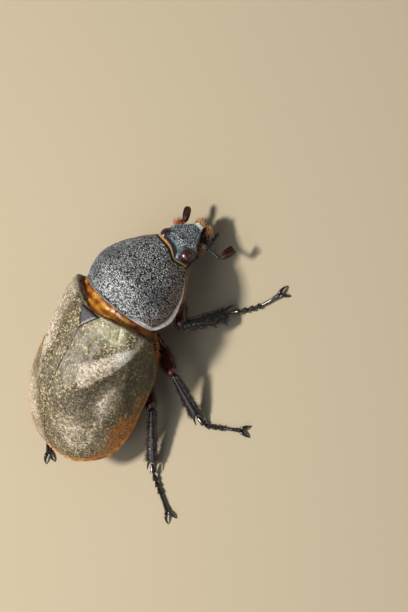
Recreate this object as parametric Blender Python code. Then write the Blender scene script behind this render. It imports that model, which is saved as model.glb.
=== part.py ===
"""A hornless female rhinoceros beetle, life size, standing on six legs.

Sizes are in millimetres, and MM turns them into metres. The beetle faces -Y, with its
back towards +Z. Three frames carry the pieces:
  stance     the trunk's own frame, with its origin at the middle of the scutellum's base,
             +Y towards the tail, nose up a little from the floor
  prothorax  hangs on the stance at the pronotum's hind margin and dips forwards
  head       hangs on the prothorax at its front margin and dips further
The legs are placed on the floor itself, under the stance's origin.
"""

import math

import bmesh
import bpy
import numpy as np
from mathutils import Matrix, Vector

MM = 0.001
GAP = 0.3
WELD = 0.00002
SHARP_ANGLE = 40.0
UPRIGHT = (0.0, 0.0, 1.0)

# How the trunk stands over the floor.
STANCE_HEIGHT = 21.2
STANCE_PITCH = 9.0

# Elytra: the two wing cases.
ELYTRA_LENGTH = 33.0
ELYTRA_HALF_WIDTH = 13.8
HUMERUS_HALF_WIDTH = 12.6
ELYTRA_CROWN = 2.0
ELYTRA_MARGIN = -12.0
HUMERUS_DROP = -8.1
APEX_DROP = -6.6
ELYTRA_BASE_LEAD = 1.2
LEFT_BASE_LEAD = 1.4
RIGHT_CORNER_DROP = 0.5
ELYTRON_WALL = 0.9
ELYTRA_CROWN_POWER = 0.88
ELYTRA_SIDE_POWER = 0.92

# Scutellum: the small triangle between the wing cases.
SCUTELLUM_WIDTH = 5.6
SCUTELLUM_LENGTH = 3.6
SCUTELLUM_DEPTH = 0.8
SCUTELLUM_SLOPE = 13.6

# Trunk under the wing cases.
TRUNK_INSET = 1.5
TRUNK_TAIL_INSET = 0.9
WAIST_TAPER = 0.45
WAIST_START = -6.0
VENTER_DEPTH = -15.5
VENTER_POWER = 0.85
THORAX_END = 13.0
TRUNK_END = 31.3
PYGIDIUM_PLACE = (0.0, 29.6, -9.5)
PYGIDIUM_TILT = 24.0

# Pronotum and prothorax, in the prothorax frame.
PRONOTUM_LENGTH = 15.8
PRONOTUM_HALF_WIDTH = 11.9
PRONOTUM_HIND_HALF_WIDTH = 10.0
PRONOTUM_FRONT_HALF_WIDTH = 5.7
PRONOTUM_FRONT_DROP = -7.2
PRONOTUM_BULGE = 1.7
PRONOTUM_WALL = 0.9
PRONOTUM_SIDE_POWER = 0.95
PRONOTUM_CROWN_POWER = 0.8
PRONOTUM_HIND_BOW = 0.8
PRONOTUM_BOW_CHANGE = -0.94
PROTHORAX_PLACE = (0.0, -3.6, -1.3)
PROTHORAX_PITCH = 17.5
PROTHORAX_YAW = -2.7
PROTHORAX_ROLL = 3.1
PROTHORAX_INSET = 1.4
PROTHORAX_DEPTH = -13.2
PROTHORAX_END_GAP = 0.4

# Head, in the head frame.
HEAD_PITCH = 9.3
HEAD_STEP_DOWN = 0.8
HEAD_START = -1.5
HEAD_LENGTH = 8.1
HEAD_NECK_TRIM = -0.15
HEAD_POWER = 0.8
EYE_PLACE = (3.85, -1.7, -1.3)
EYE_RADIUS = 1.7
FEELER_BEADS = 6
FEELER_FLAT = (0.0, 0.05, 1.0)

# Legs.
TARSUS_SHARES = (0.18, 0.14, 0.13, 0.14, 0.41)
KNEE_SETBACK = 0.1
SPUR_ROOT = (0.7, 0.5)
SPUR_TIP = (1.7, 1.3)
CLAW_SPLAY = 28.0
CLAW_ROOT = 0.5
CLAW_LENGTH = 2.6
CLAW_ARCH = 0.35
CLAW_TIP_HEIGHT = 0.1


# ---------------------------------------------------------------- shared making


def finish(name, colour, roughness, metallic=0.0):
    """One piece's own material."""
    material = bpy.data.materials.new(name)
    material.use_nodes = True
    shader = material.node_tree.nodes["Principled BSDF"]
    shader.inputs["Base Color"].default_value = (*colour, 1.0)
    shader.inputs["Roughness"].default_value = roughness
    shader.inputs["Metallic"].default_value = metallic
    return material


def profile(stations, sizes):
    """A smooth curve that keeps the rise and fall of a few (station, size) pairs."""
    x = np.array(stations, float)
    y = np.array(sizes, float)
    step = np.diff(x)
    slope = np.diff(y) / step
    lean = np.zeros(len(x))
    lean[0], lean[-1] = slope[0], slope[-1]
    for i in range(1, len(step)):
        if slope[i - 1] * slope[i] > 0:
            before = 2 * step[i] + step[i - 1]
            after = step[i] + 2 * step[i - 1]
            lean[i] = (before + after) / (before / slope[i - 1] + after / slope[i])

    def at(t):
        i = min(max(int(np.searchsorted(x, t)) - 1, 0), len(step) - 1)
        s = (t - x[i]) / step[i]
        ends = y[i] * (1 + 2 * s) * (1 - s) ** 2 + y[i + 1] * s * s * (3 - 2 * s)
        leans = lean[i] * s * (1 - s) ** 2 - lean[i + 1] * s * s * (1 - s)
        return float(ends + leans * step[i])

    return at


def course(*points):
    """A smooth line through a few points, read from 0 at its start to 1 at its end."""
    places = np.array(points, float)
    lengths = np.linalg.norm(np.diff(places, axis=0), axis=1)
    marks = np.concatenate([[0.0], np.cumsum(lengths)]) / lengths.sum()
    curves = [profile(marks, places[:, axis]) for axis in range(3)]
    return lambda t: Vector([curve(t) for curve in curves])


def signed_power(value, power):
    return math.copysign(abs(value) ** power, value)


def grid(across, along, surface):
    """A grid carried to surface(u, v), with u across and v along, each from 0 to 1."""
    bm = bmesh.new()
    bmesh.ops.create_grid(bm, x_segments=across, y_segments=along, size=0.5)
    for point in bm.verts:
        point.co = surface(point.co.x + 0.5, point.co.y + 0.5) * MM
    return bm


def close(bm):
    """Weld the seams, fill the open ends and turn every face outwards."""
    bmesh.ops.remove_doubles(bm, verts=bm.verts, dist=WELD)
    bmesh.ops.holes_fill(bm, edges=bm.edges, sides=0)
    bmesh.ops.recalc_face_normals(bm, faces=bm.faces)
    return bm


def shell(bm, wall):
    """Turn a sheet's faces upwards and give it a wall."""
    bmesh.ops.remove_doubles(bm, verts=bm.verts, dist=WELD)
    bmesh.ops.recalc_face_normals(bm, faces=bm.faces)
    if sum(face.normal.z * face.calc_area() for face in bm.faces) < 0:
        bmesh.ops.reverse_faces(bm, faces=bm.faces)
    bmesh.ops.solidify(bm, geom=bm.faces[:], thickness=wall * MM)
    bmesh.ops.recalc_face_normals(bm, faces=bm.faces)
    return bm


def trim(bm, place, outward):
    """Cut away what lies beyond a plane and close the cut."""
    parts = bm.verts[:] + bm.edges[:] + bm.faces[:]
    bmesh.ops.bisect_plane(
        bm,
        geom=parts,
        dist=1e-7,
        plane_co=Vector(place) * MM,
        plane_no=Vector(outward),
        clear_outer=True,
    )
    return close(bm)


def place_object(name, bm, frame, material=None):
    """Make an object of a mesh, in the frame that carries it."""
    mesh = bpy.data.meshes.new(name)
    bm.to_mesh(mesh)
    bm.free()
    mesh.shade_smooth()
    mesh.set_sharp_from_angle(angle=math.radians(SHARP_ANGLE))
    if material:
        mesh.materials.append(material)
    piece = bpy.data.objects.new(name, mesh)
    piece.parent = frame
    bpy.context.scene.collection.objects.link(piece)
    return piece


def tool(name, bm, frame):
    """A shape that only cuts or joins others."""
    piece = place_object(name, bm, frame)
    piece.hide_render = True
    piece.display_type = "WIRE"
    return piece


def combine(piece, other, operation):
    """Join a tool to a piece, or cut the piece with it."""
    boolean = piece.modifiers.new(f"{operation.lower()} {other.name}", "BOOLEAN")
    boolean.operation = operation
    boolean.solver = "EXACT"
    boolean.object = other


def frame_empty(name, parent, place, turn):
    """An empty that carries pieces; place in millimetres, turn a rotation matrix."""
    empty = bpy.data.objects.new(name, None)
    bpy.context.scene.collection.objects.link(empty)
    empty.parent = parent
    empty.location = Vector(place) * MM
    empty.rotation_euler = turn.to_euler()
    return empty


def turned(degrees, axis):
    return Matrix.Rotation(math.radians(degrees), 3, axis)


def limb(path, stations, outer, inner, thick, flat, around, grow=0.0):
    """A closed limb along a path.

    Each station has an outer and an inner half-width, and a half-thickness along the
    direction called flat. grow swells it, for a tool that leaves a gap round it.
    """
    stations = list(stations)
    rows = len(stations) - 1

    def surface(u, v):
        t = stations[round(v * rows)]
        centre = path(t)
        ahead = (path(min(t + 0.01, 1.0)) - path(max(t - 0.01, 0.0))).normalized()
        side = ahead.cross(Vector(flat)).normalized()
        up = side.cross(ahead)
        reach = math.cos(2 * math.pi * u)
        width = (outer(t) if reach > 0 else inner(t)) + grow
        overrun = ahead * grow * (2 * t - 1 if t in (0.0, 1.0) else 0)
        rise = up * (thick(t) + grow) * math.sin(2 * math.pi * u)
        return centre + side * width * reach + rise + overrun

    return close(grid(around, rows, surface))


# ---------------------------------------------------------------- wing cases


elytra_width = profile(
    (0.0, 0.08, 0.3, 0.55, 0.75, 0.88, 0.95, 0.985, 1.0),
    (
        HUMERUS_HALF_WIDTH,
        HUMERUS_HALF_WIDTH + 0.5,
        ELYTRA_HALF_WIDTH - 0.1,
        ELYTRA_HALF_WIDTH,
        0.915 * ELYTRA_HALF_WIDTH,
        0.75 * ELYTRA_HALF_WIDTH,
        0.56 * ELYTRA_HALF_WIDTH,
        0.36 * ELYTRA_HALF_WIDTH,
        0.6,
    ),
)
elytra_top = profile(
    (0.0, 0.1, 0.3, 0.45, 0.6, 0.75, 0.87, 0.95, 1.0),
    (
        -0.1,
        0.8,
        0.8 * ELYTRA_CROWN,
        ELYTRA_CROWN,
        0.8 * ELYTRA_CROWN,
        -0.05 * ELYTRA_CROWN,
        0.36 * APEX_DROP,
        0.7 * APEX_DROP,
        APEX_DROP,
    ),
)
elytra_edge = profile(
    (0.0, 0.1, 0.3, 0.8, 1.0),
    (
        HUMERUS_DROP,
        0.5 * (HUMERUS_DROP + ELYTRA_MARGIN),
        ELYTRA_MARGIN,
        ELYTRA_MARGIN,
        APEX_DROP - 0.3,
    ),
)


def crowd_to_tail(v):
    """Rows of a wing case stand closer towards its tip."""
    return 1.0 - (1.0 - v) ** 1.7


def elytron_surface(side):
    """One wing case's outside; side is 1 for the left and -1 for the right.

    Its base bows forwards over the neck, on the left the more so.
    """

    def surface(u, v):
        """u runs from the suture to the side margin, v from the base to the tip."""
        t = crowd_to_tail(v)
        angle = u * math.pi / 2
        edge = elytra_edge(t)
        x = elytra_width(t) * math.sin(angle) ** ELYTRA_SIDE_POWER
        crown = max(math.cos(angle), 0.0) ** ELYTRA_CROWN_POWER
        z = edge + (elytra_top(t) - edge) * crown
        lead = ELYTRA_BASE_LEAD * math.sin(math.pi * u) ** 0.8
        lead += LEFT_BASE_LEAD * math.sin(angle) if side > 0 else -RIGHT_CORNER_DROP * u**8
        return Vector((side * x, ELYTRA_LENGTH * t - lead * (1.0 - t) ** 6, z))

    return surface


def scutellum_outline(grow):
    """Front corners and tip, swollen by grow."""
    half = SCUTELLUM_WIDTH / 2 + 1.6 * grow
    return [
        Vector((-half, -grow, 0.0)),
        Vector((half, -grow, 0.0)),
        Vector((0.0, SCUTELLUM_LENGTH + 2.0 * grow, 0.0)),
    ]


def scutellum_shape(grow, above, below):
    """A triangular plate that rises backwards with the wing cases."""
    bm = bmesh.new()
    corners = [bm.verts.new(corner) for corner in scutellum_outline(grow)]
    face = bm.faces.new(corners)
    lifted = bmesh.ops.extrude_face_region(bm, geom=[face])["geom"]
    upper = [part for part in lifted if isinstance(part, bmesh.types.BMVert)]
    bmesh.ops.translate(bm, verts=upper, vec=(0.0, 0.0, above + below))
    bmesh.ops.translate(bm, verts=bm.verts, vec=(0.0, 0.0, -below))
    slope = turned(SCUTELLUM_SLOPE, "X")
    bmesh.ops.rotate(bm, verts=bm.verts, cent=(0.0, 0.0, 0.0), matrix=slope)
    bmesh.ops.scale(bm, verts=bm.verts, vec=(MM, MM, MM))
    bmesh.ops.recalc_face_normals(bm, faces=bm.faces)
    return bm


def make_wing_cases(stance):
    notch = tool("scutellum notch", scutellum_shape(GAP, 4.0, 3.0), stance)
    for side, name in ((1, "elytron_left"), (-1, "elytron_right")):
        bm = shell(grid(9, 16, elytron_surface(side)), ELYTRON_WALL)
        trim(bm, (side * GAP / 2, 0.0, 0.0), (-side, 0.0, 0.0))
        piece = place_object(name, bm, stance, finish(name, (0.2, 0.18, 0.12), 0.55))
        combine(piece, notch, "DIFFERENCE")
    plate = scutellum_shape(-0.05, 0.0, SCUTELLUM_DEPTH)
    place_object("scutellum", plate, stance, finish("scutellum", (0.05, 0.04, 0.05), 0.45))


# ---------------------------------------------------------------- trunk


trunk_floor = profile(
    (0.0, 5.0, 13.0, 20.0, 26.0, TRUNK_END),
    (-13.0, -15.0, VENTER_DEPTH, VENTER_DEPTH + 0.4, -13.8, -10.6),
)


def trunk_point(start, end):
    """The trunk's surface from one station to another along Y.

    Ahead of the wing cases it narrows and sinks a little, towards the prothorax.
    """

    def surface(u, v):
        y = start + (end - start) * v
        t = max(y, 0.0) / ELYTRA_LENGTH
        inset = TRUNK_INSET + TRUNK_TAIL_INSET * t**3 + WAIST_TAPER * max(-y, 0.0)
        side = elytra_width(t) - inset
        waist = elytra_edge(t)
        angle = 2 * math.pi * u
        x = side * signed_power(math.sin(angle), ELYTRA_SIDE_POWER)
        lift = math.cos(angle)
        if lift >= 0:
            z = waist + (elytra_top(t) - inset - waist) * lift**ELYTRA_CROWN_POWER
        else:
            z = waist - (waist - min(trunk_floor(y), waist - 0.5)) * (-lift) ** VENTER_POWER
        return Vector((x, y, z))

    return surface


def make_trunk(stance, hips):
    thorax = close(grid(20, 5, trunk_point(GAP, THORAX_END)))
    piece = place_object("thorax", thorax, stance, finish("thorax", (0.05, 0.03, 0.02), 0.4))
    for hip in hips:
        combine(piece, hip, "DIFFERENCE")
    lean = turned(PYGIDIUM_TILT, "X") @ Vector((0.0, 1.0, 0.0))
    split = Vector(PYGIDIUM_PLACE)
    belly = trim(close(grid(20, 10, trunk_point(THORAX_END + GAP, TRUNK_END))), split, lean)
    piece = place_object("abdomen", belly, stance, finish("abdomen", (0.09, 0.04, 0.02), 0.4))
    for hip in hips:
        combine(piece, hip, "DIFFERENCE")
    tail = close(grid(20, 10, trunk_point(THORAX_END + GAP, TRUNK_END)))
    trim(tail, split + lean * GAP, -lean)
    place_object("pygidium", tail, stance, finish("pygidium", (0.12, 0.05, 0.02), 0.45))


# ---------------------------------------------------------------- prothorax


pronotum_width = profile(
    (0.0, 0.1, 0.3, 0.6, 0.85, 1.0),
    (
        PRONOTUM_HIND_HALF_WIDTH,
        PRONOTUM_HIND_HALF_WIDTH + 1.2,
        PRONOTUM_HALF_WIDTH,
        0.89 * PRONOTUM_HALF_WIDTH,
        PRONOTUM_FRONT_HALF_WIDTH + 2.2,
        PRONOTUM_FRONT_HALF_WIDTH,
    ),
)
pronotum_top = profile(
    (0.0, 0.35, 0.7, 1.0),
    (
        0.0,
        0.175 * PRONOTUM_FRONT_DROP + PRONOTUM_BULGE,
        0.6 * PRONOTUM_FRONT_DROP + 0.8 * PRONOTUM_BULGE,
        PRONOTUM_FRONT_DROP,
    ),
)
pronotum_edge = profile((0.0, 0.3, 0.6, 0.85, 1.0), (-7.4, -8.7, -8.65, -8.75, -9.5))
prothorax_floor = profile((0.0, 0.5, 1.0), (-12.0, PROTHORAX_DEPTH, -12.4))


def margin_bow(v):
    """How far the sides lead the middle, from the hind margin to the front."""
    return PRONOTUM_HIND_BOW + PRONOTUM_BOW_CHANGE * v


def pronotum_point(u, v):
    """u runs across from right to left, v from the hind margin to the front."""
    angle = (u - 0.5) * math.pi
    width = pronotum_width(v)
    edge = pronotum_edge(v)
    x = width * signed_power(math.sin(angle), PRONOTUM_SIDE_POWER)
    z = edge + (pronotum_top(v) - edge) * max(math.cos(angle), 0.0) ** PRONOTUM_CROWN_POWER
    y = -(v * PRONOTUM_LENGTH + margin_bow(v) * (x / width) ** 2)
    return Vector((x, y, z))


def prothorax_point(u, v):
    """The body inside the pronotum, closed below."""
    angle = 2 * math.pi * u
    width = pronotum_width(v) - PROTHORAX_INSET
    edge = pronotum_edge(v)
    x = width * signed_power(math.sin(angle), PRONOTUM_SIDE_POWER)
    lift = math.cos(angle)
    if lift >= 0:
        z = edge + (pronotum_top(v) - PROTHORAX_INSET - edge) * lift**PRONOTUM_CROWN_POWER
    else:
        z = edge - (edge - prothorax_floor(v)) * (-lift) ** PRONOTUM_CROWN_POWER
    length = PRONOTUM_LENGTH - 2 * PROTHORAX_END_GAP
    y = -(PROTHORAX_END_GAP + v * length + margin_bow(v) * (x / width) ** 2)
    return Vector((x, y, z))


def make_prothorax(prothorax, hips):
    bm = shell(grid(16, 11, pronotum_point), PRONOTUM_WALL)
    place_object("pronotum", bm, prothorax, finish("pronotum", (0.045, 0.045, 0.05), 0.5))
    under = close(grid(20, 7, prothorax_point))
    under = place_object(
        "prothorax", under, prothorax, finish("prothorax", (0.04, 0.02, 0.015), 0.4)
    )
    for hip in hips:
        combine(under, hip, "DIFFERENCE")


def make_waist(stance, prothorax):
    """The amber neck of the middle body, between the pronotum and the wing cases."""
    bm = close(grid(20, 4, trunk_point(WAIST_START, 0.0)))
    hold = Matrix.LocRotScale(
        Vector(PROTHORAX_PLACE), prothorax.rotation_euler, Vector((1.0, 1.0, 1.0))
    )
    rear = hold @ Vector((0.0, GAP, 0.0))
    away = hold.to_3x3() @ Vector((0.0, -1.0, 0.0))
    trim(bm, rear, away)
    place_object("waist", bm, stance, finish("waist", (0.6, 0.24, 0.03), 0.3))


# ---------------------------------------------------------------- head


head_width = profile(
    (HEAD_START, 0.5, 1.7, 3.0, 3.7, 4.7, 6.4, 7.4, HEAD_LENGTH),
    (4.4, 4.6, 4.5, 4.9, 4.5, 3.5, 2.0, 1.2, 0.75),
)
head_top = profile((HEAD_START, 0.0, 3.0, 5.5, HEAD_LENGTH), (0.1, 0.0, 0.0, -0.85, -2.0))
head_floor = profile((HEAD_START, 2.5, 5.0, 6.5, HEAD_LENGTH), (-5.2, -5.2, -4.2, -3.2, -2.7))
head_edge_depth = profile((HEAD_START, 2.5, 4.4, HEAD_LENGTH), (0.35, 0.35, 0.06, 0.1))
head_side_lean = profile((HEAD_START, 2.5, 4.5, HEAD_LENGTH), (0.8, 0.8, 1.3, 1.1))


def head_point(u, v):
    """v runs from the neck to the tip of the clypeus, a flat plate with sharp edges."""
    reach = HEAD_START + (HEAD_LENGTH - HEAD_START) * v
    angle = 2 * math.pi * u
    top = head_top(reach)
    floor = head_floor(reach)
    middle = top - head_edge_depth(reach) * (top - floor)
    lift = math.cos(angle)
    lean = HEAD_POWER if lift >= 0 else head_side_lean(reach)
    x = head_width(reach) * signed_power(math.sin(angle), lean)
    half = top - middle if lift >= 0 else middle - floor
    z = middle + half * signed_power(lift, HEAD_POWER)
    return Vector((x, -reach, z))


def ball(place, radius, grow=0.0):
    bm = bmesh.new()
    bmesh.ops.create_uvsphere(bm, u_segments=12, v_segments=8, radius=(radius + grow) * MM)
    bmesh.ops.translate(bm, verts=bm.verts, vec=Vector(place) * MM)
    return bm


def round_limb(points, start, end, around, rows, grow=0.0, belly=None):
    """A limb of round section that tapers from one radius to another."""
    radius = profile((0.0, 0.5, 1.0), (start, belly or (start + end) / 2, end))
    stations = [row / rows for row in range(rows + 1)]
    return limb(
        course(*points), stations, radius, radius, radius, FEELER_FLAT, around, grow
    )


def make_antenna(head, side, stalk, club_points, spread):
    """A scape with a beaded funicle, and a club of three leaves."""
    name = "left" if side > 0 else "right"
    brown = finish(f"antenna_{name}", (0.03, 0.01, 0.008), 0.3)
    stations = [0.0, 0.12, 0.3]
    for bead in range(FEELER_BEADS):
        stations += [0.34 + 0.11 * bead, 0.39 + 0.11 * bead]
    stations.append(1.0)

    def thick(t):
        if t <= 0.3:
            return 0.42 + 0.1 * math.sin(math.pi * t / 0.3)
        return 0.42 if stations.index(t) % 2 == 0 else 0.3

    bm = limb(course(*stalk), stations, thick, thick, thick, FEELER_FLAT, 6)
    place_object(f"antenna_{name}", bm, head, brown)
    foot, tip = Vector(club_points[0]), Vector(club_points[1])
    across = (tip - foot).cross(Vector(UPRIGHT)).normalized()
    leaf_wide = profile((0.0, 0.3, 0.7, 1.0), (0.3, 0.65, 0.7, 0.35))
    leaf_thick = profile((0.0, 0.5, 1.0), (0.25, 0.27, 0.2))
    stations = (0.0, 0.3, 0.7, 1.0)
    leaves = []
    for fan in (-1, 0, 1):
        end = tip + across * fan * spread
        path = course(foot + across * fan * 0.35, end)
        leaves.append(limb(path, stations, leaf_wide, leaf_wide, leaf_thick, across, 6))
    maroon = finish(f"club_{name}", (0.09, 0.015, 0.01), 0.3)
    club = place_object(f"club_{name}", leaves[1], head, maroon)
    for leaf in (leaves[0], leaves[2]):
        combine(club, tool(f"leaf of club {name}", leaf, head), "UNION")
    root = round_limb((foot - (tip - foot) * 0.04, foot.lerp(tip, 0.2)), 0.5, 0.6, 8, 1)
    combine(club, tool(f"root of club {name}", root, head), "UNION")


def make_head(head):
    black = finish("head", (0.035, 0.04, 0.045), 0.4)
    bm = close(grid(18, 12, head_point))
    rear = turned(-HEAD_PITCH, "X") @ Vector((0.0, 1.0, 0.0))
    trim(bm, (0.0, HEAD_NECK_TRIM, 0.0), rear)
    skull = place_object("head", bm, head, black)
    for side, name in ((1, "left"), (-1, "right")):
        place = Vector((side * EYE_PLACE[0], *EYE_PLACE[1:]))
        combine(skull, tool(f"socket {name}", ball(place, EYE_RADIUS, GAP), head), "DIFFERENCE")
        glossy = finish(f"eye_{name}", (0.05, 0.008, 0.006), 0.08)
        place_object(f"eye_{name}", ball(place, EYE_RADIUS), head, glossy)

    # The mouthparts show past the clypeus: short jaws, a lip below, and two palps.
    for side, name in ((1, "left"), (-1, "right")):
        jaw = round_limb(
            ((side * 2.6, -5.6, -4.6), (side * 2.2, -7.4, -4.0), (side * 1.0, -8.7, -3.2)),
            0.85, 0.3, 8, 5,
        )
        dark = finish(f"mandible_{name}", (0.02, 0.01, 0.01), 0.25)
        place_object(f"mandible_{name}", jaw, head, dark)
        palp = round_limb(
            ((side * 2.6, -5.4, -6.0), (side * 2.3, -7.5, -5.6), (side * 2.5, -9.4, -4.9)),
            0.35, 0.4, 6, 6, belly=0.3,
        )
        brown = finish(f"palp_{name}", (0.05, 0.015, 0.01), 0.3)
        place_object(f"palp_{name}", palp, head, brown)
    lip = round_limb(((0.0, -4.2, -5.9), (0.0, -6.2, -5.4), (0.0, -7.4, -4.7)), 1.3, 0.8, 10, 4)
    place_object("labium", lip, head, finish("labium", (0.06, 0.02, 0.01), 0.4))

    make_antenna(
        head, -1,
        ((-3.4, -4.2, -3.7), (-4.2, -5.2, -2.5), (-6.2, -5.75, -3.2), (-8.75, -5.9, -3.05)),
        ((-9.2, -6.2, -3.0), (-9.75, -9.5, -3.4)), 0.75,
    )
    make_antenna(
        head, 1,
        ((3.2, -4.1, -4.3), (5.1, -4.6, -3.3), (5.5, -5.2, -3.05), (4.95, -5.8, -3.0)),
        ((4.7, -6.3, -3.0), (6.3, -9.0, -2.4)), 0.4,
    )


# ---------------------------------------------------------------- legs


LEGS = {
    # hip, knee and ankle, then the points that the foot runs through on the floor
    "front_leg_right": (
        ((-3.8, -10.2, 5.2), (-13.0, -6.6, 8.4), (-16.2, -13.3, 1.9)),
        ((-18.3, -15.2, 1.0), (-22.1, -19.1, 0.66), (-24.9, -23.4, 0.6)),
    ),
    "front_leg_left": (
        ((3.8, -10.2, 5.2), (12.9, -9.0, 7.8), (17.2, -5.0, 1.9)),
        ((18.2, -2.6, 1.0), (19.0, 2.0, 0.66), (18.2, 6.6, 0.6)),
    ),
    "middle_leg_right": (
        ((-4.4, 0.8, 4.2), (-16.0, 2.9, 6.6), (-22.8, 7.9, 1.8)),
        ((-25.2, 8.4, 1.0), (-28.6, 7.0, 0.66), (-34.2, 4.2, 0.6)),
    ),
    "middle_leg_left": (
        ((4.4, 0.8, 4.2), (15.6, 5.6, 6.4), (19.8, 13.6, 1.8)),
        ((20.8, 16.0, 1.0), (20.8, 20.6, 0.66), (18.4, 25.2, 0.6)),
    ),
    "hind_leg_right": (
        ((-3.8, 9.2, 2.7), (-14.6, 11.9, 5.2), (-18.8, 21.9, 1.8)),
        ((-20.4, 23.9, 1.0), (-23.2, 25.6, 0.66), (-28.4, 28.2, 0.6)),
    ),
    "hind_leg_left": (
        ((3.8, 9.2, 2.7), (14.2, 14.4, 5.0), (14.2, 25.4, 1.8)),
        ((13.4, 27.9, 1.0), (11.0, 32.0, 0.66), (7.2, 36.0, 0.6)),
    ),
}


def femur_shape(hip, knee, grow=0.0):
    wide = profile((0.0, 0.25, 0.55, 0.85, 1.0), (1.5, 1.7, 1.95, 1.35, 0.9))
    thick = profile((0.0, 0.25, 0.6, 0.9, 1.0), (1.2, 1.25, 1.25, 1.0, 0.75))
    stations = (0.0, 0.06, 0.25, 0.5, 0.75, 0.93, 1.0)
    return limb(course(hip, knee), stations, wide, wide, thick, UPRIGHT, 10, grow)


def tibia_shape(knee, ankle, name, grow=0.0):
    """A shin that widens to its end, with teeth down its outer edge."""
    front = name.startswith("front")
    side = 1 if name.endswith("right") else -1
    if front:
        stations = (0.0, 0.12, 0.3, 0.47, 0.51, 0.66, 0.7, 0.9, 1.0)
        edge = (0.7, 0.85, 1.05, 1.85, 1.3, 2.1, 1.5, 2.35, 1.0)
        inner = profile((0.0, 0.3, 1.0), (0.7, 0.9, 1.2))
    else:
        stations = (0.0, 0.12, 0.37, 0.41, 0.68, 0.72, 0.95, 1.0)
        edge = (0.7, 0.8, 1.35, 1.0, 1.65, 1.2, 1.6, 1.1)
        inner = profile((0.0, 0.4, 0.92, 1.0), (0.7, 0.95, 1.35, 1.1))
    thick = profile((0.0, 0.3, 1.0), (0.7, 0.75, 0.85))

    def toothed(t):
        return float(np.interp(t, stations, edge))

    widths = (toothed, inner) if side > 0 else (inner, toothed)
    return limb(course(knee, ankle), stations, *widths, thick, UPRIGHT, 8, grow)


def spur_shape(ankle, heading, lean, grow=0.0):
    """A movable spine at the inner end of a shin."""
    start = ankle - heading * SPUR_ROOT[0] + lean * SPUR_ROOT[1]
    end = ankle + heading * SPUR_TIP[0] + lean * SPUR_TIP[1]
    return round_limb((start, end), 0.4, 0.25, 5, 2, grow)


def tarsus_shape(ankle, points):
    """Five joints, each a little cone, down to the claw joint."""
    start = ankle.lerp(Vector(points[0]), 0.12)
    path = course(start, *points)
    stations = []
    sizes = []
    mark = 0.0
    for joint, share in enumerate(TARSUS_SHARES):
        last = joint == len(TARSUS_SHARES) - 1
        stations += [mark + 0.015, mark + 0.6 * share, mark + share - 0.012]
        sizes += [0.42, 0.46 if last else 0.6, 0.56 if last else 0.68]
        mark += share
    stations[0], stations[-1] = 0.0, 1.0

    def size(t):
        return float(np.interp(t, stations, sizes))

    return limb(path, stations, size, size, size, UPRIGHT, 6)


def claw_shape(points, splay):
    """One hooked claw from the end of the foot down to the floor."""
    heading = (Vector(points[-1]) - Vector(points[-2])).normalized()
    out = turned(splay, "Z") @ heading
    foot = Vector(points[-1]) - heading * CLAW_ROOT
    middle = foot + out * 0.65 * CLAW_LENGTH + Vector(UPRIGHT) * CLAW_ARCH
    tip = foot + out * CLAW_LENGTH + heading * 0.2
    tip.z = CLAW_TIP_HEIGHT
    return round_limb((foot, middle, tip), 0.42, 0.24, 5, 4)


def make_legs(root):
    chitin = (0.03, 0.012, 0.01)
    slab = bmesh.new()
    bmesh.ops.create_cube(slab, size=0.2)
    bmesh.ops.translate(slab, verts=slab.verts, vec=(0.0, 0.0, -0.1))
    ground = tool("ground", slab, root)
    for name, (bones, foot) in LEGS.items():
        hip, knee, ankle = (Vector(bone) for bone in bones)
        ahead = (knee - hip).normalized()
        shin = (ankle - knee).normalized()
        femur_end = knee - ahead * KNEE_SETBACK
        femur = femur_shape(hip, femur_end)
        dark_red = finish(f"{name}_femur", (0.06, 0.015, 0.01), 0.25)
        place_object(f"{name}_femur", femur, root, dark_red)
        tibia = place_object(
            f"{name}_tibia",
            tibia_shape(knee, ankle, name),
            root,
            finish(f"{name}_tibia", chitin, 0.35),
        )
        socket = tool(f"{name} knee", femur_shape(hip, femur_end, GAP), root)
        lean = shin.cross(Vector(UPRIGHT)).normalized() * (-1 if name.endswith("right") else 1)
        leans = [lean] if name.startswith("front") else [lean, lean * -0.9]
        for spur_lean in leans:
            spur = tool(f"{name} spur", spur_shape(ankle, shin, spur_lean), root)
            combine(tibia, spur, "UNION")
        combine(tibia, socket, "DIFFERENCE")
        combine(tibia, ground, "DIFFERENCE")
        tarsus = place_object(
            f"{name}_tarsus", tarsus_shape(ankle, foot), root, finish(f"{name}_tarsus", chitin, 0.2)
        )
        for splay in (-CLAW_SPLAY, CLAW_SPLAY):
            combine(tarsus, tool(f"{name} claw", claw_shape(foot, splay), root), "UNION")
        clearances = [tibia_shape(knee, ankle, name, GAP)]
        clearances += [spur_shape(ankle, shin, spur_lean, GAP) for spur_lean in leans]
        for clearance in clearances:
            combine(tarsus, tool(f"{name} ankle", clearance, root), "DIFFERENCE")
        combine(tarsus, ground, "DIFFERENCE")


def hip_tools(root, pair):
    """Hollows in the trunk's underside for the hips of one pair of legs."""
    tools = []
    for name, (bones, _foot) in LEGS.items():
        if name.startswith(pair):
            hip, knee = Vector(bones[0]), Vector(bones[1])
            tools.append(tool(f"{name} hip hollow", femur_shape(hip, knee, GAP), root))
    return tools


def centre_on_floor(root):
    """Bring the middle of the whole beetle's box over the world's origin."""
    bpy.context.view_layer.update()
    graph = bpy.context.evaluated_depsgraph_get()
    corners = []
    for piece in bpy.data.objects:
        if piece.type == "MESH" and not piece.hide_render:
            solid = piece.evaluated_get(graph)
            corners += [solid.matrix_world @ point.co for point in solid.data.vertices]
    for axis in (0, 1):
        values = [corner[axis] for corner in corners]
        root.location[axis] -= (min(values) + max(values)) / 2


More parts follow.
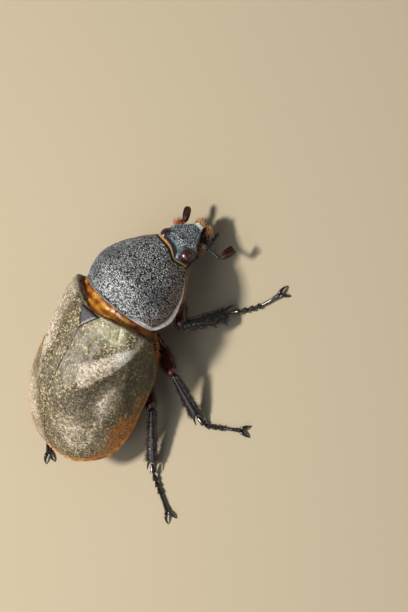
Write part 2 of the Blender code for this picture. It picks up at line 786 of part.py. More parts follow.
def main():
    for piece in list(bpy.data.objects):
        bpy.data.objects.remove(piece, do_unlink=True)
    still = Matrix.Identity(3)
    root = frame_empty("root", None, (0, 0, 0), still)
    stance = frame_empty("stance", root, (0, 0, STANCE_HEIGHT), turned(-STANCE_PITCH, "X"))
    dip = turned(PROTHORAX_YAW, "Z") @ turned(PROTHORAX_PITCH, "X") @ turned(PROTHORAX_ROLL, "Y")
    prothorax = frame_empty("prothorax frame", stance, PROTHORAX_PLACE, dip)
    nod = turned(HEAD_PITCH, "X")
    neck = Vector((0.0, -PRONOTUM_LENGTH, PRONOTUM_FRONT_DROP))
    neck = neck + nod @ Vector((0.0, 0.0, -HEAD_STEP_DOWN))
    head = frame_empty("head frame", prothorax, neck, nod)
    make_wing_cases(stance)
    make_trunk(stance, hip_tools(root, "middle") + hip_tools(root, "hind"))
    make_prothorax(prothorax, hip_tools(root, "front"))
    make_waist(stance, prothorax)
    make_head(head)
    make_legs(root)
    centre_on_floor(root)


main()
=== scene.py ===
import math

import bmesh
import bpy
import numpy as np
from mathutils import Matrix, Vector, noise


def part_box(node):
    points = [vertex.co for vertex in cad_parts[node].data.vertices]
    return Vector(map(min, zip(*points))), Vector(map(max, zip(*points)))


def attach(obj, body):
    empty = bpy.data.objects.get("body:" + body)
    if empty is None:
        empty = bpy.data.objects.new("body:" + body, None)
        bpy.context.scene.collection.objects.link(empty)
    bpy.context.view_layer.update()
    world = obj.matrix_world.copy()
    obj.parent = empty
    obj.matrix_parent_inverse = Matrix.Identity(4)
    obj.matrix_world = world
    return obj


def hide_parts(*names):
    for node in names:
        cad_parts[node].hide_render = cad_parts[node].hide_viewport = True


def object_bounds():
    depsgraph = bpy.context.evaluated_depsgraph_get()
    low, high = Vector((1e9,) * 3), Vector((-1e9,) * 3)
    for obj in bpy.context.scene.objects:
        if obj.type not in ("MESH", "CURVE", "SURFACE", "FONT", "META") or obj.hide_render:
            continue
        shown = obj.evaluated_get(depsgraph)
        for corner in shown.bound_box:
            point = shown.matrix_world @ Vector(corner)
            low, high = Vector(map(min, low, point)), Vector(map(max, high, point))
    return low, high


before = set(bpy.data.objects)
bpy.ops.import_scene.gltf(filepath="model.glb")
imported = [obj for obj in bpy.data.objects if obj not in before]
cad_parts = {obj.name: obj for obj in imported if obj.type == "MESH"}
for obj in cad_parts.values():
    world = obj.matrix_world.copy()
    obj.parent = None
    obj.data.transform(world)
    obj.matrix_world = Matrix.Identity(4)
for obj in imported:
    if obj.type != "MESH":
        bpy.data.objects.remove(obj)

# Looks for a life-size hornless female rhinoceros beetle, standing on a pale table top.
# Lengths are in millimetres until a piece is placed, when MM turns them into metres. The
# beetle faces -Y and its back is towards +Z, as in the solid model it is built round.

cad_low, cad_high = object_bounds()


# ---------------------------------------------------------------- how the body is held
# The trunk stands nose up by nine degrees. The fore body dips from it behind the pronotum,
# and the head dips further. The left eye's place in the solid model fixes all three.

MM = 0.001
STANCE_HEIGHT = 21.2
STANCE_PITCH = -9.0
PROTHORAX_PLACE = (0.0, -3.6, -1.3)
PROTHORAX_SWING, PROTHORAX_DIP, PROTHORAX_ROLL = -2.7, 17.5, 3.1
PRONOTUM_LENGTH = 15.8
PRONOTUM_FRONT_DROP = -7.2
HEAD_PITCH = 9.3
HEAD_STEP_DOWN = 0.8
EYE_PLACE = (3.85, -1.7, -1.3)


def turned(degrees, axis):
    """A turn about one of the three axes."""
    return Matrix.Rotation(math.radians(degrees), 4, axis)


stance = Matrix.Translation((0.0, 0.0, STANCE_HEIGHT)) @ turned(STANCE_PITCH, "X")
dip = turned(PROTHORAX_SWING, "Z") @ turned(PROTHORAX_DIP, "X") @ turned(PROTHORAX_ROLL, "Y")
prothorax = stance @ Matrix.Translation(PROTHORAX_PLACE) @ dip
neck = Vector((0.0, -PRONOTUM_LENGTH, PRONOTUM_FRONT_DROP))
neck += turned(HEAD_PITCH, "X").to_3x3() @ Vector((0.0, 0.0, -HEAD_STEP_DOWN))
head = prothorax @ Matrix.Translation(neck) @ turned(HEAD_PITCH, "X")

eye_low, eye_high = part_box("eye_left")
root = Matrix.Translation((eye_low + eye_high) / (2 * MM) - head @ Vector(EYE_PLACE))
stance, prothorax, head = root @ stance, root @ prothorax, root @ head


# ---------------------------------------------------------------- table, lights and camera
# A plain pale table top under a soft lamp high on the left, a wide soft panel and a little
# light from all round. The camera looks down over the beetle's right shoulder.

TABLE_COLOUR = (0.50, 0.42, 0.29)
TABLE_SIZE = 3.0
LAMPS = (
    # name, heading, distance and width in metres, power, colour
    ("key lamp", (0.32, 0.37, 0.88), 0.5, 0.09, 3.0, (1.0, 0.95, 0.88)),
    ("soft panel", (-0.35, 0.75, 0.9), 0.7, 0.5, 1.0, (0.85, 0.92, 1.0)),
    ("front panel", (-0.9, -0.5, 0.45), 0.8, 0.35, 0.45, (0.95, 0.97, 1.0)),
)
AIR_COLOUR = (0.80, 0.90, 1.0)
AIR_STRENGTH = 0.16
CAMERA_HEADING, CAMERA_ELEVATION, CAMERA_ROLL = -69.1215, 48.972, -75.7033
PICTURE_HEIGHT = 126.34
AIM_RIGHT, AIM_UP = 23.6, 1.045
LENS = 600.0
SENSOR = 36.0


def put(name, data):
    """Place new data in the scene as an object."""
    placed = bpy.data.objects.new(name, data)
    bpy.context.scene.collection.objects.link(placed)
    return placed


def finish(name, **plain):
    """A material whose shader has these constant values."""
    made = bpy.data.materials.new(name)
    made.use_nodes = True
    shader = made.node_tree.nodes["Principled BSDF"]
    for socket, value in plain.items():
        shader.inputs[socket.replace("_", " ")].default_value = value
    return made


bm = bmesh.new()
bmesh.ops.create_grid(bm, x_segments=1, y_segments=1, size=TABLE_SIZE / 2)
bmesh.ops.translate(bm, verts=bm.verts, vec=(0.0, 0.0, cad_low.z))
mesh = bpy.data.meshes.new("table_top")
bm.to_mesh(mesh)
bm.free()
mesh.materials.append(finish("table top", Base_Color=(*TABLE_COLOUR, 1), Roughness=0.85))
put("table_top", mesh)

middle = stance.translation * MM
for name, heading, distance, width, power, colour in LAMPS:
    light = bpy.data.lights.new(name, "AREA")
    light.size, light.energy, light.color = width, power, colour
    holder = put(name, light)
    holder.location = middle + Vector(heading).normalized() * distance
    holder.rotation_euler = Vector(heading).to_track_quat("Z", "Y").to_euler()

world = bpy.data.worlds.new("studio air")
world.use_nodes = True
air = world.node_tree.nodes["Background"].inputs
air["Color"].default_value = (*AIR_COLOUR, 1)
air["Strength"].default_value = AIR_STRENGTH
bpy.context.scene.world = world
bpy.context.scene.view_settings.view_transform = "Standard"

lens = bpy.data.cameras.new("camera")
lens.lens = LENS
lens.sensor_width = SENSOR
lens.clip_start, lens.clip_end = 0.05, 20.0
camera = put("camera", lens)
view = turned(CAMERA_HEADING, "Z") @ turned(90 - CAMERA_ELEVATION, "X") @ turned(CAMERA_ROLL, "Z")
camera.rotation_euler = view.to_euler()
distance = PICTURE_HEIGHT * LENS / SENSOR
camera.location = middle + view.to_3x3() @ Vector((AIM_RIGHT, AIM_UP, distance)) * MM
bpy.context.scene.camera = camera


# ---------------------------------------------------------------- pronotum
# The domed plate over the fore body is black chitin, rough with crowded worm-like grains,
# with a smooth raised bead all round. It is set as one plate over the softer body below.

PRONOTUM_GRAIN = 0.37
GRAIN_HEIGHT = 0.075
PRONOTUM_WALL = 0.9
PRONOTUM_HOLLOW = (0.0, -8.0, -3.0)
BORDER_LIP = 1.6
FRONT_SKEW = 0.45
EYE_NOTCH = 0.55
BEAD_HEIGHT, FRONT_BEAD_HEIGHT = 0.2, 0.08
GROOVE_DEPTH, FRONT_GROOVE_DEPTH = 0.05, 0.08
RIM_BAND, LOW_RIGHT_BAND = 0.2, 0.75
BAKE_STEP = 0.012


def profile(stations, sizes):
    """A smooth curve that keeps the rise and fall of a few (station, size) pairs."""
    x = np.array(stations, float)
    y = np.array(sizes, float)
    step = np.diff(x)
    slope = np.diff(y) / step
    lean = np.zeros(len(x))
    lean[0], lean[-1] = slope[0], slope[-1]
    for i in range(1, len(step)):
        if slope[i - 1] * slope[i] > 0:
            before = 2 * step[i] + step[i - 1]
            after = step[i] + 2 * step[i - 1]
            lean[i] = (before + after) / (before / slope[i - 1] + after / slope[i])

    def at(t):
        t = np.asarray(t, float)
        i = np.clip(np.searchsorted(x, t) - 1, 0, len(step) - 1)
        s = (t - x[i]) / step[i]
        ends = y[i] * (1 + 2 * s) * (1 - s) ** 2 + y[i + 1] * s * s * (3 - 2 * s)
        leans = lean[i] * s * (1 - s) ** 2 - lean[i + 1] * s * s * (1 - s)
        return ends + leans * step[i]

    return at


def signed_power(value, power):
    """A power of the size, with the sign kept."""
    return np.copysign(np.abs(value) ** power, value)


def hump(distance, centre, spread):
    """A smooth rise of one at the centre, gone at about twice the spread."""
    return np.exp(-(((distance - centre) / spread) ** 2))


def ease(value, start, end):
    """Rises smoothly from 0 at start to 1 at end."""
    share = np.clip((value - start) / (end - start), 0.0, 1.0)
    return share * share * (3 - 2 * share)


def waves(points, size, octaves=3):
    """Soft noise, about -1 to 1, with waves about size across."""
    return np.array([noise.fractal(Vector(p), 1.0, 2.0, octaves) for p in points / size])


def cells(points, size):
    """Distances to the nearest seed and to the next, in cells about size across."""
    near = np.array([noise.voronoi(Vector(p))[0][:2] for p in points / size])
    return near[:, 0], near[:, 1]


def wormy_cells(points, size, wave, sway, shifts):
    """Cells on ground that sways in waves, so that the grains run into worm-like rows."""
    wander = np.stack([waves(points + shift, wave, 2) for shift in shifts], 1)
    return cells(points + sway * wander, size)


def sheet(across, along, surface):
    """A grid carried to surface(u, v), which keeps u and v, also as its bake map."""
    bm = bmesh.new()
    bm.loops.layers.uv.new("OFBake")
    bmesh.ops.create_grid(bm, x_segments=across, y_segments=along, size=0.5, calc_uvs=True)
    layer_u = bm.verts.layers.float.new("across")
    layer_v = bm.verts.layers.float.new("along")
    flat = np.array([point.co for point in bm.verts]) + 0.5
    carried = surface(flat[:, 0].clip(0, 1), flat[:, 1].clip(0, 1))
    for point, (u, v, _height), place in zip(bm.verts, flat, carried):
        point[layer_u], point[layer_v] = u, v
        point.co = place
    return bm


def places(bm):
    """Every point's place, and its u and v on the sheet."""
    u, v = (bm.verts.layers.float[name] for name in ("across", "along"))
    rows = np.array([(*point.co, point[u], point[v]) for point in bm.verts])
    return rows[:, :3], rows[:, 3], rows[:, 4]


def face_out(bm):
    """Turn an open shell's faces away from its hollow."""
    bm.normal_update()
    hollow = sum((point.co for point in bm.verts), Vector()) / len(bm.verts)
    if sum(face.normal.dot(face.calc_center_median() - hollow) for face in bm.faces) < 0:
        bmesh.ops.reverse_faces(bm, faces=bm.faces[:])
    bm.normal_update()


def raise_by(bm, heights):
    """Move every point along its normal."""
    bm.normal_update()
    for point, height in zip(bm.verts, heights):
        point.co += point.normal * float(height)


def mark(bm, name, values):
    """Keep a value at each point for the material to read."""
    layer = bm.verts.layers.float.new(name)
    for point, value in zip(bm.verts, values):
        point[layer] = float(value)


def fill_ends(bm):
    """Close the open ends and give the new faces a small place on the bake map."""
    filled = bmesh.ops.holes_fill(bm, edges=bm.edges[:], sides=0)["faces"]
    uv = bm.loops.layers.uv["OFBake"]
    for face in filled:
        for turn, loop in enumerate(face.loops):
            angle = 2 * math.pi * turn / len(face.loops)
            loop[uv].uv = (-0.03 + 0.02 * math.cos(angle), 0.5 + 0.02 * math.sin(angle))


def back_shell(bm, wall, hollow, lip):
    """Roll a shell's border in by its wall, then towards its hollow, and close it."""
    bm.normal_update()
    uv = bm.loops.layers.uv["OFBake"]
    border = [edge for edge in bm.edges if edge.is_boundary]
    for inward in (True, False):
        edge_points = {point for edge in border for point in edge.verts}
        normals = {tuple(point.co): point.normal.copy() for point in edge_points}
        grown = bmesh.ops.extrude_edge_only(bm, edges=border)["geom"]
        edges = [part for part in grown if isinstance(part, bmesh.types.BMEdge)]
        border = [edge for edge in edges if edge.is_boundary]
        outer = {point for edge in border for point in edge.verts}
        for point in outer:
            if inward:
                point.co -= normals[tuple(point.co)] * wall
            else:
                point.co += (Vector(hollow) - point.co).normalized() * lip
        for part in grown:
            if isinstance(part, bmesh.types.BMFace):
                for loop in part.loops:
                    if loop.vert in outer:
                        loop[uv].uv += Vector((BAKE_STEP, BAKE_STEP))
    fill_ends(bm)


def settle(name, mesh, material, nodes):
    """Make a finished mesh one piece of the beetle, standing for the nodes named."""
    mesh.shade_smooth()
    mesh.materials.append(material)
    piece = put(name, mesh)
    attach(piece, "root")
    if nodes:
        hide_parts(*nodes)


def make_piece(name, bm, place, material, nodes):
    """Put a modelled piece in its place on the beetle."""
    bm.transform(Matrix.Scale(MM, 4) @ place)
    mesh = bpy.data.meshes.new(name)
    bm.to_mesh(mesh)
    bm.free()
    settle(name, mesh, material, nodes)


def feed(material, socket, value):
    """Link an output to a socket, or set a plain value or colour on it."""
    if isinstance(value, bpy.types.NodeSocket):
        material.node_tree.links.new(value, socket)
    else:
        socket.default_value = (*value, 1) if socket.type == "RGBA" else value


def wire(material, kind, output, settings=None, **inputs):
    """Add a shader node, with sockets linked and values set, and return one output."""
    made = material.node_tree.nodes.new("ShaderNode" + kind)
    for key, value in (settings or {}).items():
        setattr(made, key, value)
    for key, value in inputs.items():
        feed(material, made.inputs[key.replace("_", " ")], value)
    return made.outputs[output]


def speckle(material, size, detail=2.0, stretch=(1.0, 1.0, 1.0), offset=(0.0, 0.0, 0.0)):
    """Noise from 0 to 1 with spots about size across, in millimetres."""
    where = wire(material, "TexCoord", "Object")
    where = wire(material, "Mapping", "Vector", Vector=where, Scale=stretch, Location=offset)
    return wire(material, "TexNoise", "Fac", Vector=where, Scale=1 / (size * MM), Detail=detail)


def ramp(material, share, *stops):
    """Colours, or a grey for a single number, at stops from 0 to 1."""
    node = material.node_tree.nodes.new("ShaderNodeValToRGB")
    while len(node.color_ramp.elements) < len(stops):
        node.color_ramp.elements.new(0.5)
    for element, (stop, colour) in zip(node.color_ramp.elements, stops):
        element.position = stop
        element.color = (*colour, 1) if isinstance(colour, tuple) else (*[colour] * 3, 1)
    material.node_tree.links.new(share, node.inputs["Fac"])
    return node.outputs["Color"]


def blend(material, share, first, second, kind="MIX"):
    """One colour over another by a share from 0 to 1."""
    node = material.node_tree.nodes.new("ShaderNodeMix")
    node.data_type = "RGBA"
    node.blend_type = kind
    for place, value in ((0, share), (6, first), (7, second)):
        feed(material, node.inputs[place], value)
    return node.outputs[2]


def value_of(material, name):
    """A value kept at the points by mark."""
    return wire(material, "Attribute", "Fac", {"attribute_name": name})


def times(material, share, weight):
    """A share turned down by a weight."""
    node = material.node_tree.nodes.new("ShaderNodeMath")
    node.operation = "MULTIPLY"
    feed(material, node.inputs[0], share)
    feed(material, node.inputs[1], weight)
    return node.outputs[0]


def laid(material, base, *coats):
    """Colours laid over a base in turn, each by its mark times a weight."""
    for name, weight, colour in coats:
        share = value_of(material, name)
        if weight < 1:
            share = times(material, share, weight)
        base = blend(material, share, base, colour)
    return base


def drive(material, **inputs):
    """Link outputs to the shader's sockets."""
    shader = material.node_tree.nodes["Principled BSDF"]
    for socket, value in inputs.items():
        material.node_tree.links.new(value, shader.inputs[socket.replace("_", " ")])


def bumped(material, height, depth, strength=0.6):
    """Fine relief of about depth millimetres."""
    relief = wire(material, "Bump", "Normal", Height=height, Distance=depth * MM, Strength=strength)
    drive(material, Normal=relief)


pronotum_width = profile((0, 0.1, 0.3, 0.6, 0.85, 1), (10.0, 11.2, 11.9, 10.59, 7.9, 5.7))
pronotum_top = profile((0, 0.35, 0.7, 1), (0.0, 0.44, -2.96, PRONOTUM_FRONT_DROP))
pronotum_edge = profile((0, 0.3, 0.6, 0.85, 1), (-7.4, -8.7, -8.65, -8.75, -9.5))


def pronotum_surface(u, v):
    """u runs from the right side margin to the left, v from the hind margin to the front."""
    angle = (u - 0.5) * math.pi
    width = pronotum_width(v)
    edge = pronotum_edge(v)
    x = width * signed_power(np.sin(angle), 0.95)
    z = edge + (pronotum_top(v) - edge) * np.maximum(np.cos(angle), 0.0) ** 0.8
    lead = (0.8 - 0.94 * v) * (x / width) ** 2 + FRONT_SKEW * np.tanh((x + 1.6) / 1.6) * v**4
    y = -(v * PRONOTUM_LENGTH + lead - EYE_NOTCH * hump(x, -3.2, 1.6) * v**8)
    return np.stack([x, y, z], 1)


def in_patch(u, v, centre, spread):
    """One at the patch's centre, falling off smoothly round it."""
    return np.exp(-(((u - centre[0]) / spread[0]) ** 2) - ((v - centre[1]) / spread[1]) ** 2)


def gap_to(surface, u, v, edge_u=None, edge_v=None):
    """How far points are from a border of their sheet."""
    border_u = u if edge_u is None else edge_u + 0 * u
    border_v = v if edge_v is None else edge_v + 0 * v
    return np.linalg.norm(surface(u, v) - surface(border_u, border_v), axis=1)


bm = sheet(300, 184, pronotum_surface)
face_out(bm)
spots, u, v = places(bm)
side_gap = gap_to(pronotum_surface, u, v, edge_u=np.round(u))
hind_gap = gap_to(pronotum_surface, u, v, edge_v=0.0)
front_gap = gap_to(pronotum_surface, u, v, edge_v=1.0)
rim_gap = np.minimum(side_gap, hind_gap)
bead = BEAD_HEIGHT * hump(rim_gap, 0.26, 0.28)
bead = np.maximum(bead, FRONT_BEAD_HEIGHT * hump(front_gap, 0.12, 0.14))
groove = GROOVE_DEPTH * hump(rim_gap, 0.85, 0.2) + FRONT_GROOVE_DEPTH * hump(front_gap, 0.4, 0.14)
near, next_near = wormy_cells(spots, PRONOTUM_GRAIN, 0.8, 0.22, (0, 31, 67))
grain = ease(next_near - near, 0.02, 0.42) * (1 - 0.3 * ease(near, 0.35, 0.9))
low_right = ease(-spots[:, 0], 7.2, 10.2)
band = RIM_BAND + LOW_RIGHT_BAND * low_right * (1 - ease(v, 0.2, 0.7))
off_front = ease(front_gap, 0.3, 0.7)
rough = ease(rim_gap, band + 0.1, band + 0.45) * off_front
broad = 0.06 * waves(spots, 4.5, 2)
raise_by(bm, bead - groove + rough * (GRAIN_HEIGHT * (2 * grain - 1) + broad))
mark(bm, "grain", rough * grain)
mark(bm, "bead", (1 - ease(rim_gap + 0.1 * broad, band, band + 0.4)) * off_front)
# Painted highlight: the bead's lower right stretch is marked to be painted pale.
mark(bm, "pale", low_right)
mark(bm, "side", (1 - ease(side_gap, 1.5, 6.0)) * (1 - 0.4 * ease(v, 0.5, 0.8)))
# Painted shade: the left part of the plate, most towards the hind margin, is marked to be darkened.
mark(bm, "left", ease(spots[:, 0], 0.5, 7.0) * (1 - 0.7 * ease(v, 0.4, 0.75)))
# a darker patch on the right side of the plate
mark(bm, "dark_patch", in_patch(u, v, (0.2, 0.4), (0.1, 0.28)))
back_shell(bm, PRONOTUM_WALL, PRONOTUM_HOLLOW, BORDER_LIP)

granite = finish("pronotum", Coat_Weight=0.12, Coat_Roughness=0.25, Sheen_Weight=0.15,
                 Sheen_Roughness=0.4, Sheen_Tint=(0.7, 0.82, 1.0, 1.0))
# The grain tops take the grey of the grains, and their near-white flecks are painted glints.
grain_tops_and_glints = ramp(granite, speckle(granite, 0.35, 3.0), (0.34, (0.16, 0.175, 0.19)),
            (0.5, (0.43, 0.45, 0.46)), (0.64, (1.0, 0.98, 0.94)))
grain_tops_and_glints = laid(granite, grain_tops_and_glints, ("side", 0.8, (0.25, 0.115, 0.092)))
gold_share = ramp(granite, speckle(granite, 0.6, 1.0, offset=(0.4, 0.1, 0.0)), (0.71, 0.0), (0.76, 1.0))
grain_tops_and_glints = blend(granite, gold_share, grain_tops_and_glints, (0.45, 0.27, 0.10))
# painted shade over the left part of the plate
grain_tops_and_glints = laid(granite, grain_tops_and_glints, ("left", 0.75, (0.13, 0.14, 0.155)))
# Painted shade: the valleys between the grains go near black.
depth = ramp(granite, value_of(granite, "grain"), (0.14, 0.0), (0.5, 1.0))
plate = blend(granite, depth, (0.005, 0.005, 0.006), grain_tops_and_glints)
smooth = ramp(granite, speckle(granite, 1.4), (0.3, (0.13, 0.14, 0.16)), (0.7, (0.24, 0.25, 0.27)))
# painted highlight on the lower right stretch of the bead
painted_bead_highlight = ramp(granite, speckle(granite, 0.5), (0.3, (0.56, 0.54, 0.57)), (0.7, (0.95, 0.94, 0.95)))
smooth = laid(granite, smooth, ("pale", 1, painted_bead_highlight))
# a darker patch on the right side, then the smooth bead
plate = laid(granite, plate, ("dark_patch", 0.6, (0.012, 0.010, 0.010)), ("bead", 1, smooth))
drive(granite, Base_Color=plate, Roughness=ramp(granite, depth, (0.0, 0.7), (1.0, 0.36)))
bumped(granite, speckle(granite, 0.09, 2.0), 0.02, 0.5)
make_piece("pronotum_plate", bm, prothorax, granite, ["pronotum"])


# ---------------------------------------------------------------- wing cases
# Two domed cases of thick chitin meet in a straight seam down the back. They are olive
# brown under short pale down, with a thin orange bead round the outer edge. Their pale
# bands and patches are partly pale down and partly painted light on the lit crests; a
# near-white patch by the shoulder and a pale orange band along the left case's side are
# painted light, and a stripe past the fold and the flank below the shoulder painted shade.

ELYTRA_LENGTH = 33.0
ELYTRA_HALF_WIDTH = 13.8
ELYTRA_CROWN = 2.0
ELYTRA_MARGIN = -12.0
HUMERUS_DROP = -8.1
APEX_DROP = -6.6
ELYTRA_BASE_LEAD = 1.2
LEFT_BASE_LEAD = 1.4
RIGHT_CORNER_DROP = 0.5
ELYTRON_WALL = 0.7
CASE_LIP = 1.4
CASE_HOLLOW = (5.0, 14.0, -6.0)
SEAM_BEAD, BASE_BEAD, OUTER_BEAD = 0.07, 0.05, 0.22
SEAM_GROOVE, BASE_GROOVE, OUTER_GROOVE = 0.05, 0.12, 0.12
LEFT_BASE_DIP = 0.5
SWELLINGS = (
    # height, then centre and spread on the sheet: shoulder, hump before the tip, side bulge
    (0.35, (0.62, 0.07), (0.12, 0.035)),
    (0.25, (0.5, 0.66), (0.14, 0.07)),
    (0.35, (0.62, 0.3), (0.07, 0.08)),
)
SHOULDER_NOTCH = 0.25
FOLD_CREST, FOLD_TROUGH = 0.5, 0.4
RIBS = (0.2, 0.4, 0.6)
RIB_HEIGHT = 0.05
PIT_SPACING, PIT_DEPTH = 0.6, 0.035
SCUTELLUM_SEAT = 0.4
SCUTELLUM_HALF_WIDTH = 2.7
SCUTELLUM_LENGTH = 3.6

elytra_width = profile(
    (0, 0.08, 0.3, 0.55, 0.75, 0.88, 0.95, 0.985, 1),
    (12.6, 13.1, 13.7, ELYTRA_HALF_WIDTH,
     *(ELYTRA_HALF_WIDTH * share for share in (0.915, 0.75, 0.56, 0.36)), 0.6),
)
elytra_top = profile(
    (0, 0.1, 0.3, 0.45, 0.6, 0.75, 0.87, 0.95, 1),
    (-0.1, 0.8, *(ELYTRA_CROWN * share for share in (0.8, 1.0, 0.8, -0.05)),
     *(APEX_DROP * share for share in (0.36, 0.7, 1.0))),
)
elytra_edge = profile(
    (0, 0.1, 0.3, 0.8, 1),
    (HUMERUS_DROP, (HUMERUS_DROP + ELYTRA_MARGIN) / 2, ELYTRA_MARGIN, ELYTRA_MARGIN, APEX_DROP - 0.3),
)


def elytron_surface(side):
    """The outside of one wing case; u runs from the seam to the side, v from base to tip."""

    def surface(u, v):
        t = 1.0 - (1.0 - v) ** 1.7
        angle = u * math.pi / 2
        edge = elytra_edge(t)
        x = elytra_width(t) * np.sin(angle) ** 0.92
        z = edge + (elytra_top(t) - edge) * np.maximum(np.cos(angle), 0.0) ** 0.88
        lead = ELYTRA_BASE_LEAD * np.maximum(np.sin(math.pi * u), 0.0) ** 0.8
        lead += LEFT_BASE_LEAD * np.sin(angle) if side > 0 else -RIGHT_CORNER_DROP * u**8
        return np.stack([side * x, ELYTRA_LENGTH * t - lead * (1.0 - t) ** 6, z], 1)

    return surface


flank_line = profile(
    (0, 0.04, 0.09, 0.154, 0.228, 0.286, 0.4, 1), (0.9, 0.76, 0.67, 0.66, 0.707, 0.795, 0.95, 1.0),
)
# the line along the left case's side where a pale orange band is painted, a painted sheen on the down at its
# edge
left_sheen_line = profile((0, 0.27, 0.37, 0.48, 0.6, 0.75, 1), (0.8, 0.44, 0.38, 0.33, 0.25, 0.20, 0.15))


def past_fold(u, v):
    """How far a place lies past the slanting fold behind the shoulder."""
    return u + 1.72 * v - 0.81


def rusty_flank(u, v):
    """The orange brown wash over the side and the tip."""
    on_side = ease(u + 0.76 * np.minimum(v, 0.4) - 1.07, -0.05, 0.1)
    return on_side * (0.45 * ease(v, 0.14, 0.24) + 0.55 * ease(v, 0.24, 0.48))


def shade_flank(u, v):
    """The side below the shoulder, painted dark as shade."""
    return ease(u - flank_line(np.clip(v, 0, 1)), -0.03, 0.06)


def case_relief(side, spots, u, v, base_gap, rim_gap):
    """How far each place stands out, with beads, swellings, a fold, ribs and pits."""
    seam_gap = np.abs(spots[:, 0])
    rise = SEAM_BEAD * hump(seam_gap, 0.32, 0.2) - SEAM_GROOVE * hump(seam_gap, 0.0, 0.08)
    rise += BASE_BEAD * hump(base_gap, 0.12, 0.14) - BASE_GROOVE * hump(base_gap, 0.45, 0.22)
    rise += OUTER_BEAD * hump(rim_gap, 0.25, 0.28) - OUTER_GROOVE * hump(rim_gap, 0.85, 0.3)
    if side > 0:
        rise -= LEFT_BASE_DIP * (1 - ease(base_gap, 0.0, 0.9)) * ease(u, 0.12, 0.3)
    for height, centre, spread in SWELLINGS:
        rise += height * in_patch(u, v, centre, spread)
    rise -= SHOULDER_NOTCH * in_patch(u - 0.8 * (v - 0.03), v, (0.45, 0.025), (0.018, 0.022))
    fold = past_fold(u, v)
    rise += FOLD_CREST * hump(fold, -0.07, 0.09) * hump(v, 0.15, 0.17)
    rise -= FOLD_TROUGH * hump(fold, 0.12, 0.1) * hump(v, 0.2, 0.17)
    open_field = ease(base_gap, 0.5, 1.2) * ease(rim_gap, 0.8, 1.6)
    for rib in RIBS:
        crest = hump(u + 0.02 * np.sin(9 * v), rib, 0.025)
        rise += RIB_HEIGHT * crest * open_field * ease(v, 0.03, 0.2)
    rise += open_field * (0.16 * waves(spots, 3.8, 3) + 0.03 * waves(spots, 0.6, 2))
    pits = open_field * (1 - ease(cells(spots, PIT_SPACING)[0], 0.0, 0.34))
    plate_edge = SCUTELLUM_HALF_WIDTH * (1 - spots[:, 1] / SCUTELLUM_LENGTH)
    under_plate = ease(plate_edge - seam_gap, -0.2, 0.1) * ease(4.5 - spots[:, 1], 0.0, 0.2)
    return rise - PIT_DEPTH * pits - SCUTELLUM_SEAT * under_plate, pits


def case_marks(side, spots, u, v, base_gap, rim_gap):
    """Where each colour of a wing case lies, from 0 to 1."""
    left = side > 0
    cloud = waves(spots, 2.2, 4)
    ragged = 0.025 * waves(spots, 1.2, 3)
    fold = past_fold(u, v)
    # Pale bands and patches: partly pale down, and partly painted light on the lit crest behind the shoulder,
    # on the side bulge and towards the left case's edge.
    pale_and_lit = ease(u + 3 * v - 0.79 + ragged, -0.06, 0.05) * (1 - ease(fold + ragged, -0.02, 0.03))
    pale_and_lit *= 1.2 * ease(u - 1.13 * v + 0.04 + ragged, -0.02, 0.02) * (0.3 if left else 1.0)
    pale_and_lit += in_patch(u, v, (0.45, 0.57), (0.26, 0.1)) + 1.4 * in_patch(u, v, (0.62, 0.3), (0.085, 0.085))
    pale_and_lit += left * 0.6 * ease(u + 0.35 * v, 0.25, 0.38)
    # Painted light: a near-white patch on the slope by the shoulder.
    painted_light_patch = np.clip(pale_and_lit * (1.2 + cloud), 0, 1) * in_patch(u, v, (0.62, 0.08), (0.12, 0.06))
    moss = in_patch(u, v, (0.47, 0.03), (0.07, 0.03)) + 0.55 * in_patch(u, v, (0.27, 0.03), (0.22, 0.04))
    rust = rusty_flank(u + 0.04 * cloud, v + 0.05 * cloud)
    rust = rust * (1 - 0.5 * ease(v, 0.5, 0.8) * ease(rim_gap, 2.5, 4.5))
    # Painted shade: a dark stripe just past the fold, and the flank below the shoulder.
    dark = 0.6 * ease(fold, -0.01, 0.06) * (1 - ease(fold, 0.17, 0.28)) * (1 - ease(v, 0.34, 0.46))
    dark = np.maximum(dark, shade_flank(u, v + 0.02 * cloud) * (1 - rust))
    rim_width = 0.35 + 0.9 * ease(v, 0.4, 0.75) + (not left) * 0.7 * ease(v, 0.55, 0.8)
    rim = 1 - ease(rim_gap, rim_width, rim_width + 0.35)
    # On the left case the rim mark also takes a pale orange band along the side: a painted sheen on the down
    # there, over the real orange margin.
    if left:
        past_sheen_line = u - left_sheen_line(v) + 0.06 * cloud
        blotches = np.clip(1.0 + 1.2 * cloud + 0.8 * waves(spots, 0.7, 2), 0.2, 1.2)
        rim = np.maximum(rim, 0.52 * blotches * ease(past_sheen_line, 0.0, 0.06) * (1 - ease(past_sheen_line, 0.06, 0.34)))
    else:
        rim = rim * (0.12 + 0.88 * ease(v, 0.42, 0.55))
    return {
        "pale_and_lit": np.clip(pale_and_lit * (1.0 + (0.3 if left else 0.7) * cloud), 0, 1),
        "painted_light_patch": (not left) * painted_light_patch,
        "moss": np.clip((not left) * moss * (1.1 + 0.8 * cloud), 0, 1),
        "rust": np.clip(rust * (1.0 + 0.6 * cloud), 0, 1),
        "dark": np.clip(dark * (1.0 - 0.4 * cloud), 0, 1),
        "rim": rim,
        "base": 1 - ease(base_gap, 0.2, 0.7),
    }


